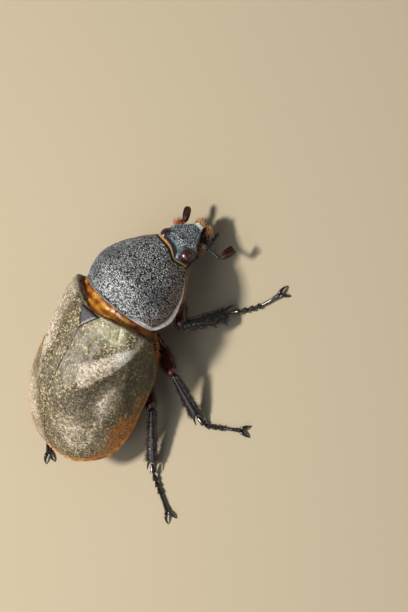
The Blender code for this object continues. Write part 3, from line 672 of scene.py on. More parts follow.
def wing_case(side):
    """The shell of one wing case, with its marks."""
    surface = elytron_surface(side)
    bm = sheet(150, 250, surface)
    face_out(bm)
    spots, u, v = places(bm)
    base_gap, rim_gap = gap_to(surface, u, v, edge_v=0.0), gap_to(surface, u, v, edge_u=1.0)
    rise, pits = case_relief(side, spots, u, v, base_gap, rim_gap)
    raise_by(bm, rise)
    mark(bm, "pit", pits)
    for name, values in case_marks(side, spots, u, v, base_gap, rim_gap).items():
        mark(bm, name, values)
    back_shell(bm, ELYTRON_WALL, (side * CASE_HOLLOW[0], *CASE_HOLLOW[1:]), CASE_LIP)
    return bm


olive = finish("wing case", Sheen_Weight=0.1, Sheen_Roughness=0.45, Sheen_Tint=(1.0, 0.82, 0.6, 1.0),
               Coat_Weight=0.08, Coat_Roughness=0.3)
fleck = wire(olive, "TexVoronoi", "Color", Vector=wire(olive, "TexCoord", "Object"), Scale=1 / (0.3 * MM))
fleck = wire(olive, "SeparateColor", "Red", Color=fleck)


def flecked(dark, light):
    """A colour between two that differs from one little fleck to the next."""
    return blend(olive, fleck, dark, light)


scales = ramp(
    olive, fleck, (0.0, (0.012, 0.009, 0.004)), (0.2, (0.062, 0.046, 0.017)), (0.45, (0.185, 0.14, 0.058)),
    (0.6, (0.165, 0.142, 0.085)), (0.8, (0.42, 0.30, 0.12)), (1.0, (1.0, 0.80, 0.52)),
)
patchy = ramp(olive, speckle(olive, 1.9, 4.0), (0.34, 0.62), (0.52, 0.9), (0.68, 1.2))
shade = blend(olive, 1.0, scales, patchy, "MULTIPLY")
streak = ramp(olive, speckle(olive, 0.5, 3.0, stretch=(1.6, 0.5, 1.0)), (0.46, 0.0), (0.62, 0.6))
shade = blend(olive, streak, shade, (0.055, 0.046, 0.024))
blotch = speckle(olive, 1.5, 3.0, stretch=(1.5, 0.6, 1.0), offset=(0.002, 0.0, 0.001))
blotch = ramp(olive, blotch, (0.5, 0.0), (0.62, 0.6))
shade = blend(olive, blotch, shade, flecked((0.030, 0.026, 0.010), (0.20, 0.16, 0.07)))
pale = ramp(olive, fleck, (0.0, (0.22, 0.165, 0.115)), (0.35, (0.52, 0.41, 0.29)), (1.0, (0.94, 0.82, 0.66)))
orange = ramp(olive, speckle(olive, 1.2), (0.35, (0.44, 0.13, 0.018)), (0.65, (0.85, 0.38, 0.09)))
shade = laid(
    olive, shade,
    ("rust", 0.88, flecked((0.17, 0.048, 0.004), (0.70, 0.25, 0.022))),
    # pale down, partly painted light
    ("pale_and_lit", 0.85, pale),
    # painted light by the shoulder
    ("painted_light_patch", 1, flecked((0.52, 0.49, 0.44), (1.0, 0.98, 0.92))),
    ("moss", 0.78, flecked((0.46, 0.44, 0.24), (0.96, 0.92, 0.62))),
    # painted shade past the fold and on the flank
    ("dark", 0.9, flecked((0.012, 0.010, 0.006), (0.085, 0.062, 0.030))),
    ("pit", 0.5, (0.03, 0.022, 0.012)),
    # the orange bead, and on the left case's side also a painted sheen
    ("rim", 1, orange),
    ("base", 0.5, (0.12, 0.115, 0.09)),
)
drive(olive, Base_Color=shade, Roughness=ramp(olive, fleck, (0.3, 0.42), (0.7, 0.68)))
bumped(olive, speckle(olive, 0.16, 3.0), 0.05, 0.7)
SIDES = {"left": 1, "right": -1}
for name, side in SIDES.items():
    make_piece(f"wing_case_{name}", wing_case(side), stance, olive, [f"elytron_{name}"])


# ---------------------------------------------------------------- scutellum
# The small dark triangle between the bases of the wing cases, a plate of its own that
# wedges them apart. It is purplish black, finely pitted, with a thin raised edge.

SCUTELLUM_SLOPE = 13.6
SCUTELLUM_LIFT = 0.1
SCUTELLUM_DEPTH = 0.8
SCUTELLUM_DOME = 0.14
SCUTELLUM_PIT_SPACING, SCUTELLUM_PIT_DEPTH = 0.28, 0.03


def mottle(material, size, detail, *stops):
    """Colour a piece all over by noise with spots about size across."""
    drive(material, Base_Color=ramp(material, speckle(material, size, detail), *stops))


bm = bmesh.new()
tips = ((-SCUTELLUM_HALF_WIDTH, 0.0), (SCUTELLUM_HALF_WIDTH, 0.0), (0.0, SCUTELLUM_LENGTH))
bm.faces.new([bm.verts.new((*tip, 0.0)) for tip in tips])
bmesh.ops.subdivide_edges(bm, edges=bm.edges[:], cuts=40, use_grid_fill=True)
for point in bm.verts:
    x, y = abs(point.co.x), point.co.y
    slant = (SCUTELLUM_HALF_WIDTH * (1 - y / SCUTELLUM_LENGTH) - x) * 0.8
    edge_gap = max(min(slant, y), 0.0)
    pit = noise.voronoi(point.co / SCUTELLUM_PIT_SPACING)[0][0]
    dome = SCUTELLUM_DOME * min(edge_gap / 0.5, 1.0) ** 0.5
    point.co.z = dome - SCUTELLUM_PIT_DEPTH * max(0.0, 1 - pit / 0.5) * min(edge_gap / 0.3, 1.0)
lower = bmesh.ops.extrude_face_region(bm, geom=bm.faces[:])["geom"]
for point in lower:
    if isinstance(point, bmesh.types.BMVert):
        point.co.z = -SCUTELLUM_DEPTH
bmesh.ops.recalc_face_normals(bm, faces=bm.faces)
violet = finish("scutellum", Coat_Weight=0.2, Coat_Roughness=0.3)
mottle(violet, 0.3, 3.0, (0.35, (0.028, 0.023, 0.029)), (0.68, (0.115, 0.094, 0.104)))
drive(violet, Roughness=ramp(violet, speckle(violet, 0.2), (0.3, 0.35), (0.7, 0.6)))
bumped(violet, speckle(violet, 0.12, 2.0), 0.03)
tilt = stance @ Matrix.Translation((0.0, 0.0, SCUTELLUM_LIFT)) @ turned(SCUTELLUM_SLOPE, "X")
make_piece("scutellum_plate", bm, tilt, violet, ["scutellum"])


# ---------------------------------------------------------------- amber neck
# Soft golden membrane joins the fore body to the trunk where the body bends. It is glossy,
# lies in low cross folds, and turns brown towards both sides and the belly. The troughs of
# the folds, the far sides where it runs in under the plates, and a band along the base of
# the wing cases are darkened as painted shade.

TRUNK_INSET = 1.5
TRUNK_TAIL_INSET = 0.9
WAIST_TAPER = 0.45
WAIST_START = -6.0
WAIST_END = 2.2
MEMBRANE_RISE = 0.45
MEMBRANE_FOLD, MEMBRANE_WRINKLE = 0.12, 0.1
MEMBRANE_BROW = 0.55

trunk_floor = profile((0, 5, 13, 20, 26, 31.3), (-13, -15, -15.5, -15.1, -13.8, -10.6))


def tube(around, along, surface):
    """A body closed round itself, with its ends drawn to a point or filled."""
    bm = sheet(around, along, surface)
    bmesh.ops.remove_doubles(bm, verts=bm.verts[:], dist=1e-4)
    fill_ends(bm)
    bmesh.ops.recalc_face_normals(bm, faces=bm.faces)
    return bm


def trunk_surface(start, end, inset):
    """The trunk between two stations on Y; u runs round it, 0.5 at the middle of the back."""

    def surface(u, v):
        y = start + (end - start) * v
        t = np.maximum(y, 0.0) / ELYTRA_LENGTH
        sunk = inset + TRUNK_TAIL_INSET * t**3 + WAIST_TAPER * np.maximum(-y, 0.0)
        waist = elytra_edge(t)
        angle = 2 * math.pi * (u - 0.5)
        lift = np.cos(angle)
        x = (elytra_width(t) - sunk) * signed_power(np.sin(angle), 0.92)
        upper = (elytra_top(t) - sunk - waist) * np.maximum(lift, 0.0) ** 0.88
        lower = (waist - np.minimum(trunk_floor(y), waist - 0.5)) * np.maximum(-lift, 0.0) ** 0.85
        return np.stack([x, y, waist + upper - lower], 1)

    return surface


bm = tube(280, 60, trunk_surface(WAIST_START, WAIST_END, TRUNK_INSET - MEMBRANE_RISE))
spots = places(bm)[0]
x, y = spots[:, 0], spots[:, 1]
bend = y + 0.35 * waves(spots, 3.0, 2)
on_back = 1 - ease(np.abs(x), 8.5, 10.5)
folds = MEMBRANE_FOLD * np.sin(bend * 4.2)
folds += MEMBRANE_WRINKLE * waves(spots * (1.0, 0.35, 1.0), 1.1, 3)
raise_by(bm, folds * ease(WAIST_END - y, 0.0, 0.8) + MEMBRANE_BROW * ease(y, -1.6, -0.2) * on_back)
sideways = np.where(x > 0, x - 1.2, -x)
browned = np.where(x > 0, 0.3, 0.45) * ease(sideways, 2.0, 7.0)
# Browner towards both sides, and near black at the far sides, where the membrane runs in under the plates:
# painted shade there.
mark(bm, "side", np.maximum(browned, ease(sideways, 10.0, 11.2)))
# painted shade along the base of the wing cases
mark(bm, "case_base_shade", ease(y, -0.9, -0.3) * on_back)
# painted shade in the troughs of the folds
mark(bm, "fold", np.clip(0.5 - 2.2 * folds, 0, 1))
amber = finish("amber membrane", Coat_Weight=0.22, Coat_Roughness=0.22, Roughness=0.45,
               Specular_IOR_Level=0.3)
gold = ramp(amber, speckle(amber, 2.2, 3.0), (0.34, (0.20, 0.045, 0.003)),
            (0.48, (0.52, 0.17, 0.010)), (0.62, (0.80, 0.37, 0.035)))
# painted shade in the troughs of the folds
gold = laid(amber, gold, ("fold", 0.55, (0.13, 0.028, 0.004)))
spot = ramp(amber, speckle(amber, 1.1, 2.0, offset=(0.003, 0.001, 0.0)), (0.63, 0.0), (0.67, 1.0))
gold = blend(amber, times(amber, spot, 0.85), gold, (0.02, 0.008, 0.004))
# browner sides, with painted shade where the membrane runs under the plates and along the base of the wing
# cases
gold = laid(amber, gold, ("side", 0.95, (0.030, 0.007, 0.002)), ("case_base_shade", 1, (0.17, 0.045, 0.005)))
drive(amber, Base_Color=gold)
bumped(amber, speckle(amber, 0.35, 2.0, stretch=(0.5, 1.6, 1.0)), 0.06, 0.5)
make_piece("amber_neck", bm, stance, amber, ["waist"])


# ---------------------------------------------------------------- head
# A short black wedge of chitin with a three-sided plate over the mouth. It is rough with
# fine wrinkled grains, smooth and bluish on the crown, with a low brow inside each eye.

HEAD_START = -1.5
HEAD_LENGTH = 8.1
EYE_RADIUS = 1.7
HEAD_GRAIN = 0.36
HEAD_GRAIN_HEIGHT = 0.055
BROW_HEIGHT, CHEEK_HEIGHT, CROWN_HEIGHT = 0.8, 0.16, 0.16
PLATE_BEAD, PLATE_GROOVE, PLATE_SEAM = 0.1, 0.08, 0.07
EYE_SOCKET = 0.1

head_width = profile(
    (-1.5, 0.5, 1.7, 3.0, 3.7, 4.7, 6.4, 7.4, 8.1), (4.4, 4.6, 4.5, 4.9, 4.5, 3.5, 2.0, 1.2, 0.75),
)
head_top = profile((-1.5, 0.0, 3.0, 5.5, 8.1), (0.1, 0.0, 0.0, -0.85, -2.0))
head_floor = profile((-1.5, 2.5, 5.0, 6.5, 8.1), (-5.2, -5.2, -4.2, -3.2, -2.7))
head_edge_depth = profile((-1.5, 2.5, 4.4, 8.1), (0.35, 0.35, 0.06, 0.1))
head_side_lean = profile((-1.5, 2.5, 4.5, 8.1), (0.8, 0.8, 1.3, 1.1))


def head_surface(u, v):
    """u runs round the head, 0.5 on the crown; v from the neck to the front of the plate."""
    reach = HEAD_START + (HEAD_LENGTH - HEAD_START) * v
    angle = 2 * math.pi * (u - 0.5)
    top, floor = head_top(reach), head_floor(reach)
    edge = top - head_edge_depth(reach) * (top - floor)
    lift = np.cos(angle)
    lean = np.where(lift >= 0, 0.8, head_side_lean(reach))
    x = head_width(reach) * signed_power(np.sin(angle), lean)
    z = edge + np.where(lift >= 0, top - edge, edge - floor) * signed_power(lift, 0.8)
    return np.stack([x, -reach, z], 1)


bm = tube(260, 190, head_surface)
spots, u, v = places(bm)
x, y, z = np.abs(spots[:, 0]), -spots[:, 1], spots[:, 2]
above = (np.abs(u - 0.5) <= 0.25) * 1.0
edge_gap = gap_to(head_surface, u, v, edge_u=np.where(u < 0.5, 0.25, 0.75))
eye_gap = np.linalg.norm(np.stack([x, -y, z], 1) - EYE_PLACE, axis=1) - EYE_RADIUS
plate = ease(y, 3.3, 4.2)
rise = BROW_HEIGHT * above * in_patch(x, y, (2.95, 1.2), (0.55, 1.75))
rise += CHEEK_HEIGHT * in_patch(x, y, (4.3, 3.1), (0.7, 0.5)) * (z > -3)
rise += plate * PLATE_BEAD * hump(edge_gap, 0.02, 0.08)
rise -= plate * PLATE_GROOVE * above * hump(edge_gap, 0.24, 0.12)
rise -= PLATE_SEAM * above * hump(y + 0.25 * x, 4.6, 0.16)
rise += CROWN_HEIGHT * above * in_patch(x, y, (0.0, 3.2), (0.8, 0.5))
rise -= EYE_SOCKET * hump(eye_gap, 0.05, 0.16) * (x > 2.6)
near, next_near = wormy_cells(spots, HEAD_GRAIN, 0.7, 0.18, (3, 17, 41))
grain = ease(next_near - near, 0.02, 0.4)
rough = ease(y + 0.5 * waves(spots, 1.0, 2), 1.3, 2.2) * (1 - 0.75 * plate * hump(edge_gap, 0.0, 0.13))
raise_by(bm, rise + rough * HEAD_GRAIN_HEIGHT * (2 * grain - 1) + 0.03 * waves(spots, 1.6, 2))
mark(bm, "grain", rough * grain + 0.45 * (1 - rough))
mark(bm, "smooth", 1 - ease(y + 0.3 * waves(spots, 1.4, 2), 1.5, 2.3))
# painted shade in the hollow between the left eye and the plate
mark(bm, "dark_patch", 0.9 * in_patch(spots[:, 0], y, (3.1, 1.6), (0.8, 0.9)))
# Painted highlight: a near-white spot at the front tip of the plate.
mark(bm, "tip", above * ease(y, 7.1, 7.7))
mark(bm, "rim", plate * (1 - ease(edge_gap, 0.03, 0.12)) * above)
# Painted shade: the sides and underside of the head below the plate, and a thin ring round each eye, are
# marked to go near black.
socket = hump(eye_gap, 0.0, 0.14) * (x > 2.6)
mark(bm, "shade_under", np.clip((1 - above) * ease(edge_gap, 0.2, 0.9) + socket, 0, 1))
slate = finish("head", Coat_Weight=0.3, Coat_Roughness=0.22, Sheen_Weight=0.15,
               Sheen_Tint=(0.7, 0.85, 1.0, 1.0))
# The grain tops take the grey of the grains, and their near-white flecks are painted glints.
grain_tops_and_glints = ramp(slate, speckle(slate, 0.3, 3.0), (0.34, (0.06, 0.08, 0.095)),
            (0.5, (0.17, 0.21, 0.235)), (0.64, (0.72, 0.76, 0.74)))
# Painted shade: the valleys between the grains go near black.
depth = ramp(slate, value_of(slate, "grain"), (0.12, 0.0), (0.5, 1.0))
crown = ramp(slate, speckle(slate, 1.3, 3.0), (0.36, (0.028, 0.035, 0.043)), (0.62, (0.18, 0.23, 0.28)))
shade = laid(
    slate, blend(slate, depth, (0.007, 0.008, 0.009), grain_tops_and_glints),
    ("smooth", 0.85, crown),
    # painted shade by the left eye
    ("dark_patch", 1, (0.012, 0.013, 0.015)),
    ("rim", 1, (0.17, 0.22, 0.27)),
    # painted highlight at the plate's tip
    ("tip", 1, (0.92, 0.90, 0.82)),
    # painted shade below the plate and round the eyes
    ("shade_under", 1, (0.012, 0.008, 0.007)),
)
gloss = ramp(slate, value_of(slate, "grain"), (0.0, 0.6), (1.0, 0.32))
drive(slate, Base_Color=shade, Roughness=gloss)
bumped(slate, speckle(slate, 0.1, 2.0), 0.02, 0.5)
make_piece("head_plate", bm, head, slate, ["head"])


# ---------------------------------------------------------------- eyes
# Each compound eye is a glossy dark maroon bead of thousands of tiny lenses, let into the
# side of the head just behind the plate.

maroon_glass = finish("eye", Base_Color=(0.047, 0.006, 0.005, 1.0), Coat_Weight=0.9,
                      Coat_Roughness=0.24, Roughness=0.32)
lens_place = wire(maroon_glass, "TexCoord", "Object")
lenses = wire(maroon_glass, "TexVoronoi", "Distance", Vector=lens_place, Scale=1 / (0.07 * MM))
bumped(maroon_glass, lenses, 0.006, 0.25)
for name, side in SIDES.items():
    bm = bmesh.new()
    bm.loops.layers.uv.new("OFBake")
    bmesh.ops.create_uvsphere(bm, u_segments=72, v_segments=48, radius=EYE_RADIUS, calc_uvs=True)
    bm.transform(Matrix.Translation((side * EYE_PLACE[0], *EYE_PLACE[1:])))
    make_piece(f"eye_bead_{name}", bm, head, maroon_glass, [f"eye_{name}"])


# ---------------------------------------------------------------- feelers
# Each feeler has a stout first joint, its pale blue grey a painted reflection, a string of
# small black bead joints, and a club of three maroon leaves held a little apart. It hangs
# from the head below the eye.


def rod(points, outer, inner=None, thick=None, flat=(0.0, 0.05, 1.0), caps=(0.08, 0.08)):
    """A limb along a smooth path; u runs round it from its outer edge, v from root to tip."""
    points = np.array(points, float)
    reach = np.append(0.0, np.cumsum(np.linalg.norm(np.diff(points, axis=0), axis=1)))
    track = [profile(reach / reach[-1], points[:, axis]) for axis in range(3)]

    def centre(t):
        return np.stack([axis(t) for axis in track], 1)

    def surface(u, v):
        t = (1 - np.cos(math.pi * v)) / 2
        ahead = centre(np.minimum(t + 0.01, 1.0)) - centre(np.maximum(t - 0.01, 0.0))
        ahead /= np.linalg.norm(ahead, axis=1)[:, None]
        side = np.cross(ahead, flat)
        side /= np.linalg.norm(side, axis=1)[:, None]
        up = np.cross(side, ahead)
        from_ends = np.minimum(np.minimum(t / caps[0], (1 - t) / caps[1]), 1.0)
        round_end = np.sqrt(np.maximum(1 - (1 - from_ends) ** 2, 0.0))
        reach_out = np.cos(2 * math.pi * u)
        wide = np.where(reach_out > 0, outer(t), (inner or outer)(t)) * reach_out * round_end
        high = (thick or outer)(t) * np.sin(2 * math.pi * u) * round_end
        return centre(t) + side * wide[:, None] + up * high[:, None]

    return surface


def gather(parts):
    """Several closed bodies as one mesh."""
    whole = bmesh.new()
    for part in parts:
        held = bpy.data.meshes.new("part")
        part.to_mesh(held)
        part.free()
        whole.from_mesh(held)
        bpy.data.meshes.remove(held)
    for layer in list(whole.loops.layers.uv):
        whole.loops.layers.uv.remove(layer)
    return whole


def steady(size):
    """The same size all along a limb."""
    return lambda t: size + 0 * t


def bead_string(points, count, waist, girth):
    """A string of bead joints; swell is 1 on each bead and 0 in the narrow necks."""

    def width(t):
        return waist + (girth - waist) * np.abs(np.sin(math.pi * count * t)) ** 0.95

    bm = tube(20, 150, rod(points, width))
    along = (1 - np.cos(math.pi * places(bm)[2])) / 2
    mark(bm, "swell", np.abs(np.sin(math.pi * count * along)))
    return bm


FEELERS = {
    # the stalk's bends from the root on, the club's root and tip, and how far its leaves part
    "right": (
        ((-3.4, -4.2, -3.7), (-4.2, -5.2, -2.5), (-6.2, -5.75, -3.2), (-8.95, -5.9, -3.0)),
        ((-9.2, -6.2, -3.0), (-9.75, -9.4, -3.4)), 0.75,
    ),
    "left": (
        ((3.2, -4.1, -4.3), (5.1, -4.6, -3.3), (5.5, -5.3, -3.0), (4.8, -6.0, -2.95)),
        ((4.7, -6.3, -3.0), (6.3, -9.0, -2.4)), 0.3,
    ),
}
UPRIGHT = Vector((0.0, 0.0, 1.0))
FEELER_BEADS = 6
LEAF_ROOT_GAP = 0.32
LEAF_BOW = 0.12
LEAF_THICKNESS = 0.24
CLUB_ROOT = 0.42

scape_width = profile((0, 0.4, 0.85, 1), (0.34, 0.42, 0.6, 0.46))
leaf_width = profile((0, 0.15, 0.4, 0.75, 1), (0.34, 0.52, 0.68, 0.72, 0.4))

# The first joint's pale blue grey mottle is a painted reflection.
painted_reflection_blue = finish("first feeler joint", Coat_Weight=1.0, Coat_Roughness=0.1, Roughness=0.25)
mottle(painted_reflection_blue, 0.8, 2.0, (0.35, (0.10, 0.13, 0.17)), (0.7, (0.34, 0.40, 0.46)))
jet = finish("feeler joint", Coat_Weight=0.3, Coat_Roughness=0.12, Roughness=0.38)
bead_black = ramp(jet, value_of(jet, "swell"), (0.45, (0.004, 0.004, 0.005)), (0.95, (0.055, 0.058, 0.065)))
drive(jet, Base_Color=bead_black)
bumped(jet, speckle(jet, 0.12), 0.015)
leaf_brown = finish("feeler club", Roughness=0.45)
mottle(leaf_brown, 0.5, 3.0, (0.32, (0.024, 0.005, 0.003)), (0.7, (0.105, 0.020, 0.008)))
bumped(leaf_brown, speckle(leaf_brown, 0.08), 0.02)
scapes = {}
for name, (stalk, club, spread) in FEELERS.items():
    first, second, third, last = (np.array(bend) for bend in stalk)
    string = (second * 0.82 + third * 0.18, third, last)
    beads = bead_string(string, FEELER_BEADS, 0.17, 0.46)
    make_piece(f"feeler_{name}", beads, head, jet, [f"antenna_{name}"])
    scapes[name] = rod((first, second, second * 0.75 + third * 0.25), scape_width)
    make_piece(f"first_feeler_joint_{name}", tube(32, 40, scapes[name]), head, painted_reflection_blue, [])
    foot, tip = Vector(club[0]), Vector(club[1])
    across = (tip - foot).cross(UPRIGHT).normalized()
    club_root = (foot - (tip - foot) * 0.1, foot.lerp(tip, 0.16))
    leaves = [tube(16, 20, rod(club_root, steady(CLUB_ROOT), caps=(0.4, 0.4)))]
    for fan in (-1, 0, 1):
        start = foot + across * fan * LEAF_ROOT_GAP
        end = tip + across * fan * spread
        bow = start.lerp(end, 0.5) + across * fan * LEAF_BOW
        leaf = rod((start, bow, end), leaf_width, thick=steady(LEAF_THICKNESS), flat=across, caps=(0.1, 0.16))
        leaves.append(tube(32, 44, leaf))
    make_piece(f"feeler_club_{name}", gather(leaves), head, leaf_brown, [f"club_{name}"])


# ---------------------------------------------------------------- mouthparts
# Short blunt jaws and two lips, all of glossy chestnut chitin, close the mouth under the
# plate, and two black jointed palps reach forward past them from the head's underside.

jaw_width = profile((0, 0.4, 0.75, 1), (0.9, 0.85, 0.6, 0.32))
lip_width = profile((0, 0.5, 1), (1.35, 1.2, 0.85))
lobe_width = profile((0, 0.5, 1), (0.8, 0.75, 0.5))
LIP_BENDS = ((0.0, -4.2, -5.9), (0.0, -6.2, -5.4), (0.0, -7.4, -4.7))
PALP_BEADS = 4

chestnut = finish("mouthparts", Coat_Weight=0.6, Coat_Roughness=0.15, Roughness=0.3)
mottle(chestnut, 0.9, 3.0, (0.35, (0.014, 0.005, 0.003)), (0.7, (0.075, 0.022, 0.008)))
bumped(chestnut, speckle(chestnut, 0.15), 0.02)
jaws = {}
for name, side in SIDES.items():
    jaw = ((side * 2.6, -5.6, -4.6), (side * 2.2, -7.4, -4.0), (side * 1.0, -8.7, -3.2))
    jaws[name] = rod(jaw, jaw_width)
    make_piece(f"jaw_{name}", tube(32, 40, jaws[name]), head, chestnut, [f"mandible_{name}"])
    palp = ((side * 2.6, -5.4, -6.0), (side * 2.3, -7.5, -5.6), (side * 2.5, -9.4, -4.9))
    beads = bead_string(palp, PALP_BEADS, 0.2, 0.38)
    make_piece(f"feeding_palp_{name}", beads, head, jet, [f"palp_{name}"])
bm = tube(48, 40, rod(LIP_BENDS, lip_width, caps=(0.2, 0.25)))
spots = places(bm)[0]
raise_by(bm, 0.06 * waves(spots, 0.8, 3) - 0.1 * hump(spots[:, 0], 0.0, 0.15))
make_piece("lip", bm, head, chestnut, ["labium"])
lobes = []
for side in (-1, 1):
    lobe = ((side * 0.2, -6.6, -3.4), (side * 0.75, -7.9, -3.35), (side * 0.9, -8.6, -3.2))
    lobes.append(tube(28, 24, rod(lobe, lobe_width, thick=steady(0.4), caps=(0.25, 0.3))))
make_piece("front_lip", gather(lobes), head, chestnut, [])


# ---------------------------------------------------------------- trunk
# Below the plate and the wing cases the body is closed with dark red-brown chitin: the fore
# body, the breast with its grooves, five belly rings that overlap backwards, and the tail.

PROTHORAX_INSET = 1.4
PROTHORAX_START = 0.4
THORAX_START, THORAX_END = 0.3, 13.15
TRUNK_END = 31.3
TAIL_PLACE = (0.0, 29.6, -9.5)
TAIL_TILT = 24.0
RING_STARTS = (13.2, 16.6, 19.6, 22.4, 25.2)
RING_STEP = 0.4
RINGS_END = 29.0
FORE_KEEL, FORE_GROOVE = 0.35, 0.3
BREAST_SWELL, BREAST_GROOVE = 0.4, 0.22
PIT_DEPTHS = {"breast": 0.05, "belly": 0.04}
BREAST_PITS, BELLY_PITS, TAIL_GRAIN = 0.55, 0.5, 0.45

prothorax_floor = profile((0, 0.5, 1), (-12.0, -13.2, -12.4))


def prothorax_surface(u, v):
    """The fore body inside the pronotum; u is 0.5 at the middle of the back."""
    angle = 2 * math.pi * (u - 0.5)
    width = pronotum_width(v) - PROTHORAX_INSET
    edge = pronotum_edge(v)
    x = width * signed_power(np.sin(angle), 0.95)
    lift = np.cos(angle)
    upper = (pronotum_top(v) - PROTHORAX_INSET - edge) * np.maximum(lift, 0.0) ** 0.8
    lower = (edge - prothorax_floor(v)) * np.maximum(-lift, 0.0) ** 0.8
    lead = (0.8 - 0.94 * v) * (x / width) ** 2
    y = -(PROTHORAX_START + v * (PRONOTUM_LENGTH - 2 * PROTHORAX_START) + lead)
    return np.stack([x, y, edge + upper - lower], 1)


def chitin(name, dark, light, coat=0.6, haze=0.14, rough=(0.22, 0.42)):
    """Glossy chitin, mottled between two colours, finely pitted."""
    made = finish(name, Coat_Weight=coat, Coat_Roughness=haze)
    mottle(made, 1.6, 4.0, (0.35, dark), (0.68, light))
    drive(made, Roughness=ramp(made, speckle(made, 0.5, 3.0), (0.3, rough[0]), (0.7, rough[1])))
    bumped(made, speckle(made, 0.2, 3.0), 0.04, 0.5)
    return made


belly_brown = chitin("underside", (0.018, 0.006, 0.004), (0.075, 0.022, 0.010))

bm = tube(160, 100, prothorax_surface)
spots = places(bm)[0]
x, y, z = np.abs(spots[:, 0]), spots[:, 1], spots[:, 2]
below = ease(-z, 8.0, 9.5)
rise = FORE_KEEL * below * in_patch(x, y, (0.0, -8.5), (1.1, 4.5))
rise -= FORE_GROOVE * below * hump(x, 1.9, 0.35)
rise += 0.12 * below * waves(spots, 1.6, 3) - 0.2 * below * hump(y + 0.2 * x, -12.2, 0.3)
raise_by(bm, rise)
make_piece("fore_body", bm, prothorax, belly_brown, ["prothorax"])

breast_surface = trunk_surface(THORAX_START, THORAX_END, TRUNK_INSET)
bm = tube(220, 90, breast_surface)
spots = places(bm)[0]
x, y, z = np.abs(spots[:, 0]), spots[:, 1], spots[:, 2]
below = ease(-z, 9.5, 12.0)
seams = hump(x, 0.0, 0.14) * ease(y, 2.5, 3.5)
seams += hump(y + 0.25 * x, 3.2, 0.22) + hump(y - 0.12 * x, 9.6, 0.22)
seams += hump(x - 0.12 * y, 6.4, 0.2) + hump(x - 0.05 * y, 9.2, 0.2)
swell = in_patch(x, y, (2.2, 6.5), (2.4, 3.0))
rise = below * (BREAST_SWELL * swell - BREAST_GROOVE * seams + 0.07 * waves(spots, 1.1, 3))
pits = 1 - ease(cells(spots, BREAST_PITS)[0], 0.05, 0.4)
raise_by(bm, rise - PIT_DEPTHS["breast"] * below * pits)
make_piece("breast", bm, stance, belly_brown, ["thorax"])


def tail_cut(bm, keep_tail):
    """Cut the trunk on the slant where the last ring meets the tail, and close it."""
    slant = turned(TAIL_TILT, "X") @ Vector((0.0, 1.0, 0.0))
    bmesh.ops.bisect_plane(
        bm, geom=[*bm.verts, *bm.edges, *bm.faces], plane_co=TAIL_PLACE, plane_no=slant,
        clear_inner=keep_tail, clear_outer=not keep_tail,
    )
    fill_ends(bm)
    bmesh.ops.recalc_face_normals(bm, faces=bm.faces)


bm = tube(220, 150, trunk_surface(THORAX_END, TRUNK_END, TRUNK_INSET))
spots = places(bm)[0]
x, y, z = np.abs(spots[:, 0]), spots[:, 1], spots[:, 2]
below = ease(-z, 8.0, 10.5)
along = y + 0.03 * x**1.5
step = sum(ease(along, ring - 0.02, ring + 0.14) for ring in RING_STARTS)
slope = np.interp(along, (*RING_STARTS, RINGS_END), range(1, len(RING_STARTS) + 2))
rise = below * (RING_STEP * (step - slope) + 0.1 + 0.04 * waves(spots, 1.0, 3))
pits = 1 - ease(cells(spots, BELLY_PITS)[0], 0.05, 0.4)
raise_by(bm, rise - PIT_DEPTHS["belly"] * below * pits)
tail_cut(bm, keep_tail=False)
make_piece("belly_rings", bm, stance, belly_brown, ["abdomen"])

bm = tube(220, 300, trunk_surface(THORAX_END, TRUNK_END, TRUNK_INSET))
tail_cut(bm, keep_tail=True)
spots = places(bm)[0]
grain = ease(cells(spots, TAIL_GRAIN)[0], 0.05, 0.5)
raise_by(bm, 0.05 * grain + 0.05 * waves(spots, 1.4, 2) - 0.05)
tail_brown = chitin("tail", (0.05, 0.014, 0.006), (0.16, 0.05, 0.018))
make_piece("tail_plate", bm, stance, tail_brown, ["pygidium"])


# ---------------------------------------------------------------- legs
# Six legs of hard glossy chitin. Each has a rounded hip let into the body, a stout dark red
# thigh, a toothed black shin with spurs at its end, and a foot of five joints with two claws.

TARSUS_SHARES = (0.18, 0.14, 0.13, 0.14, 0.41)
LEGS = {
    # hip, knee and ankle, then the bends of the foot, in the model's own frame
    "front_leg_right": (
        ((-3.8, -10.2, 5.2), (-13.0, -6.6, 8.4), (-16.2, -13.3, 1.9)),
        ((-18.3, -15.2, 1.0), (-22.1, -19.1, 0.66), (-24.9, -23.4, 0.6)),
    ),
    "front_leg_left": (
        ((3.8, -10.2, 5.2), (12.9, -9.0, 7.8), (17.2, -5.0, 1.9)),
        ((18.2, -2.6, 1.0), (19.0, 2.0, 0.66), (18.2, 6.6, 0.6)),
    ),
    "middle_leg_right": (
        ((-4.4, 0.8, 4.2), (-16.0, 2.9, 6.6), (-22.8, 7.9, 1.8)),
        ((-25.2, 8.4, 1.0), (-28.6, 7.0, 0.66), (-34.2, 4.2, 0.6)),
    ),
    "middle_leg_left": (
        ((4.4, 0.8, 4.2), (15.6, 5.6, 6.4), (19.8, 13.6, 1.8)),
        ((20.8, 16.0, 1.0), (20.8, 20.6, 0.66), (18.4, 25.2, 0.6)),
    ),
    "hind_leg_right": (
        ((-3.8, 9.2, 2.7), (-14.6, 11.9, 5.2), (-18.8, 21.9, 1.8)),
        ((-20.4, 23.9, 1.0), (-23.2, 25.6, 0.66), (-28.4, 28.2, 0.6)),
    ),
    "hind_leg_left": (
        ((3.8, 9.2, 2.7), (14.2, 14.4, 5.0), (14.2, 25.4, 1.8)),
        ((13.4, 27.9, 1.0), (11.0, 32.0, 0.66), (7.2, 36.0, 0.6)),
    ),
}
